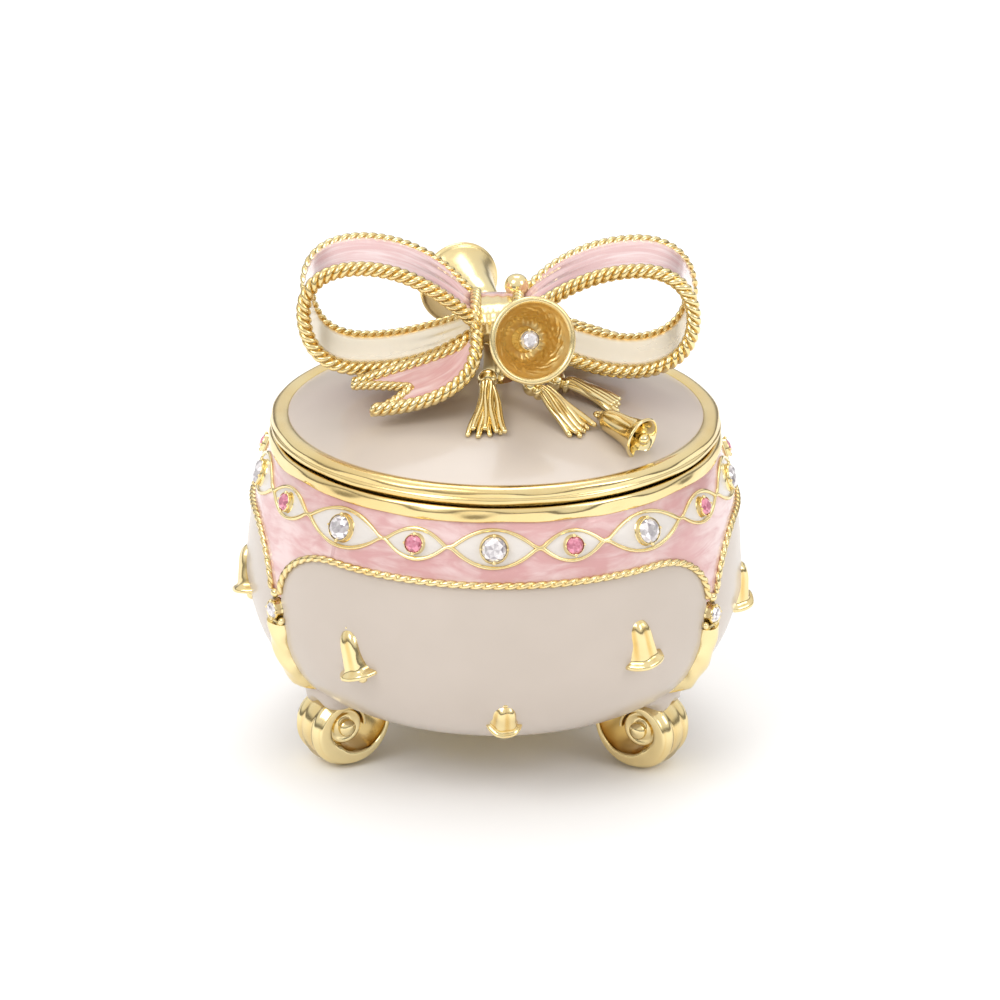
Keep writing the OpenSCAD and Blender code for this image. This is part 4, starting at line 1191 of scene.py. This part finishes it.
def floor():
    """A wide pale table top, painted darker far from the box as painted shade in place of an unlit room."""
    look = bpy.context.scene.trinket_finish
    p = Paint("pale_table")
    away = Number(p, p.node("ShaderNodeVectorMath", {"operation": "LENGTH"},
                            n0=p.node("ShaderNodeTexCoord").outputs["Object"]).outputs["Value"])
    # Painted shade: the table darkens with distance so that the gold reflects a dim room beyond.
    tone = p.mix(p.spread(away, 0.5, 1.4), shade(look.floor), (0.35, 0.34, 0.33))
    made = p.finish(Base_Color=tone, Roughness=p.noise(p.place(), 30, 2) * 0.1 + 0.6)
    r = np.array([0, 0.2, 0.6, 1.5, 4.0]) * 1000
    points, faces, _, _ = revolve(np.stack([r, 0 * r - 0.02], 1), 48)
    mesh = bpy.data.meshes.new("table")
    mesh.from_pydata((points / 1000).tolist(), [], faces.tolist())
    mesh.materials.append(made)
    table = bpy.data.objects.new("table", mesh)
    bpy.context.scene.collection.objects.link(table)


def softbox(name, place, target, size, power):
    """A square soft light that faces a target."""
    light = bpy.data.lights.new(name, "AREA")
    light.shape, light.size, light.energy = "SQUARE", size, power
    lamp = bpy.data.objects.new(name, light)
    lamp.location = place
    lamp.rotation_mode = "QUATERNION"
    lamp.rotation_quaternion = (Vector(target) - Vector(place)).to_track_quat("-Z", "Y")
    bpy.context.scene.collection.objects.link(lamp)


def surround(strength):
    """A white surround, darker in a band above the horizon so that the gold has something to reflect."""
    world = bpy.data.worlds.new("white_surround")
    bpy.context.scene.world = world
    world.use_nodes = True
    tree = world.node_tree
    tree.nodes.clear()
    where = tree.nodes.new("ShaderNodeTexCoord")
    split = tree.nodes.new("ShaderNodeSeparateXYZ")
    ramp = tree.nodes.new("ShaderNodeValToRGB")
    back = tree.nodes.new("ShaderNodeBackground")
    out = tree.nodes.new("ShaderNodeOutputWorld")
    half = tree.nodes.new("ShaderNodeMapRange")
    half.inputs["From Min"].default_value = -1
    stops = ((0.0, 0.85), (0.48, 0.6), (0.515, 0.22), (0.57, 0.28), (0.63, 0.95), (1.0, 1.1))
    for k, (at, tone) in enumerate(stops):
        stop = ramp.color_ramp.elements[k] if k < 2 else ramp.color_ramp.elements.new(at)
        stop.position = at
        stop.color = (tone, tone * 0.99, tone * 0.975, 1)
    tree.links.new(where.outputs["Generated"], split.inputs[0])
    tree.links.new(split.outputs["Z"], half.inputs["Value"])
    tree.links.new(half.outputs[0], ramp.inputs[0])
    tree.links.new(ramp.outputs[0], back.inputs["Color"])
    tree.links.new(back.outputs[0], out.inputs[0])
    back.inputs["Strength"].default_value = strength


def camera():
    """A long lens in front of the box and above it, level but for a slight roll."""
    stage = bpy.context.scene.trinket_stage
    e = stage.elevation
    target = Vector((0.00063, 0, 0.03048))
    forward = Vector((0, math.cos(e), -math.sin(e)))
    lens = bpy.data.cameras.new("camera")
    lens.sensor_width, lens.lens = 36, 173.8
    lens.clip_start, lens.clip_end = 0.01, 20
    eye = bpy.data.objects.new("camera", lens)
    bpy.context.scene.collection.objects.link(eye)
    turn = forward.to_track_quat("-Z", "Y").to_matrix() @ Matrix.Rotation(stage.roll, 3, "Z")
    eye.rotation_mode = "QUATERNION"
    eye.rotation_quaternion = turn.to_quaternion()
    eye.location = target - stage.distance * forward
    bpy.context.scene.camera = eye


# Operators ---------------------------------------------------------------------------------------------


class PotOperator(bpy.types.Operator):
    """Build the pot's casting, white panels and pink band"""

    bl_idname = "trinket.pot"
    bl_label = "Pot"

    def execute(self, context):
        pot_casting()
        white_panels()
        pink_band()
        return {"FINISHED"}


class TrimOperator(bpy.types.Operator):
    """Build the ropes round the panels, the straps and the rims"""

    bl_idname = "trinket.trim"
    bl_label = "Ropes, straps and rims"

    def execute(self, context):
        panel_ropes()
        straps()
        rims()
        return {"FINISHED"}


class FeetOperator(bpy.types.Operator):
    """Build the three scroll feet"""

    bl_idname = "trinket.feet"
    bl_label = "Feet"

    def execute(self, context):
        feet()
        return {"FINISHED"}


class CrystalsOperator(bpy.types.Operator):
    """Build the band of cells and every crystal of the pot"""

    bl_idname = "trinket.crystals"
    bl_label = "Crystals"

    def execute(self, context):
        cell_wires()
        cell_enamel()
        band_crystals()
        separator_crystals()
        return {"FINISHED"}


class ReliefBellsOperator(bpy.types.Operator):
    """Build the nine small bells on the panels"""

    bl_idname = "trinket.relief_bells"
    bl_label = "Relief bells"

    def execute(self, context):
        relief_bells()
        return {"FINISHED"}


class LidOperator(bpy.types.Operator):
    """Build the lid's dome and casting, and finish the hinge"""

    bl_idname = "trinket.lid"
    bl_label = "Lid"

    def execute(self, context):
        lid_dome()
        carried_over()
        return {"FINISHED"}


class BowOperator(bpy.types.Operator):
    """Build the ribbon bow"""

    bl_idname = "trinket.bow"
    bl_label = "Bow"

    def execute(self, context):
        loops()
        knot()
        tails()
        knot_bead()
        return {"FINISHED"}


class OrnamentsOperator(bpy.types.Operator):
    """Build the open bells, the tassels and the loose bell"""

    bl_idname = "trinket.ornaments"
    bl_label = "Bells and tassels"

    def execute(self, context):
        open_bells()
        tassels()
        loose_bell()
        return {"FINISHED"}


class StageOperator(bpy.types.Operator):
    """Set the table, the lights and the camera"""

    bl_idname = "trinket.stage"
    bl_label = "Stage"

    def execute(self, context):
        stage = context.scene.trinket_stage
        context.scene.view_settings.view_transform = "Standard"
        floor()
        surround(stage.sky)
        centre = (0, 0, 0.03)
        softbox("key_softbox", (-0.7, -0.7, 1.0), centre, 0.7, 14 * stage.key)
        softbox("fill_softbox", (0.9, -0.5, 0.7), centre, 0.5, 6 * stage.key)
        softbox("top_softbox", (0.0, 0.5, 1.1), centre, 0.6, 7 * stage.key)
        camera()
        return {"FINISHED"}


class TrinketPanel(bpy.types.Panel):
    """Lists the pieces of the trinket box, and its sizes and colours"""

    bl_idname = "VIEW3D_PT_trinket"
    bl_label = "Trinket box"
    bl_space_type = "VIEW_3D"
    bl_region_type = "UI"
    bl_category = "Trinket box"

    def draw(self, context):
        for operator in OPERATORS:
            self.layout.operator(operator.bl_idname)
        for name, group in GROUPS.items():
            box = self.layout.box()
            for key in group.__annotations__:
                box.prop(getattr(context.scene, name), key)


GROUPS = {"trinket_pot": PotSizes, "trinket_lid": LidSizes, "trinket_bow": BowSizes,
          "trinket_finish": Finishes, "trinket_stage": StageSettings}
OPERATORS = (PotOperator, TrimOperator, FeetOperator, CrystalsOperator, ReliefBellsOperator, LidOperator,
             BowOperator, OrnamentsOperator, StageOperator)


def register():
    for cls in (*GROUPS.values(), *OPERATORS, TrinketPanel):
        bpy.utils.register_class(cls)
    for name, group in GROUPS.items():
        setattr(bpy.types.Scene, name, PointerProperty(type=group))


def unregister():
    for name in GROUPS:
        delattr(bpy.types.Scene, name)
    for cls in reversed((*GROUPS.values(), *OPERATORS, TrinketPanel)):
        bpy.utils.unregister_class(cls)


def main():
    """Registers the add-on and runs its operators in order."""
    register()
    for operator in OPERATORS:
        group, name = operator.bl_idname.split(".")
        getattr(getattr(bpy.ops, group), name)()
    bpy.context.view_layer.update()


if __name__ == "__main__":
    main()
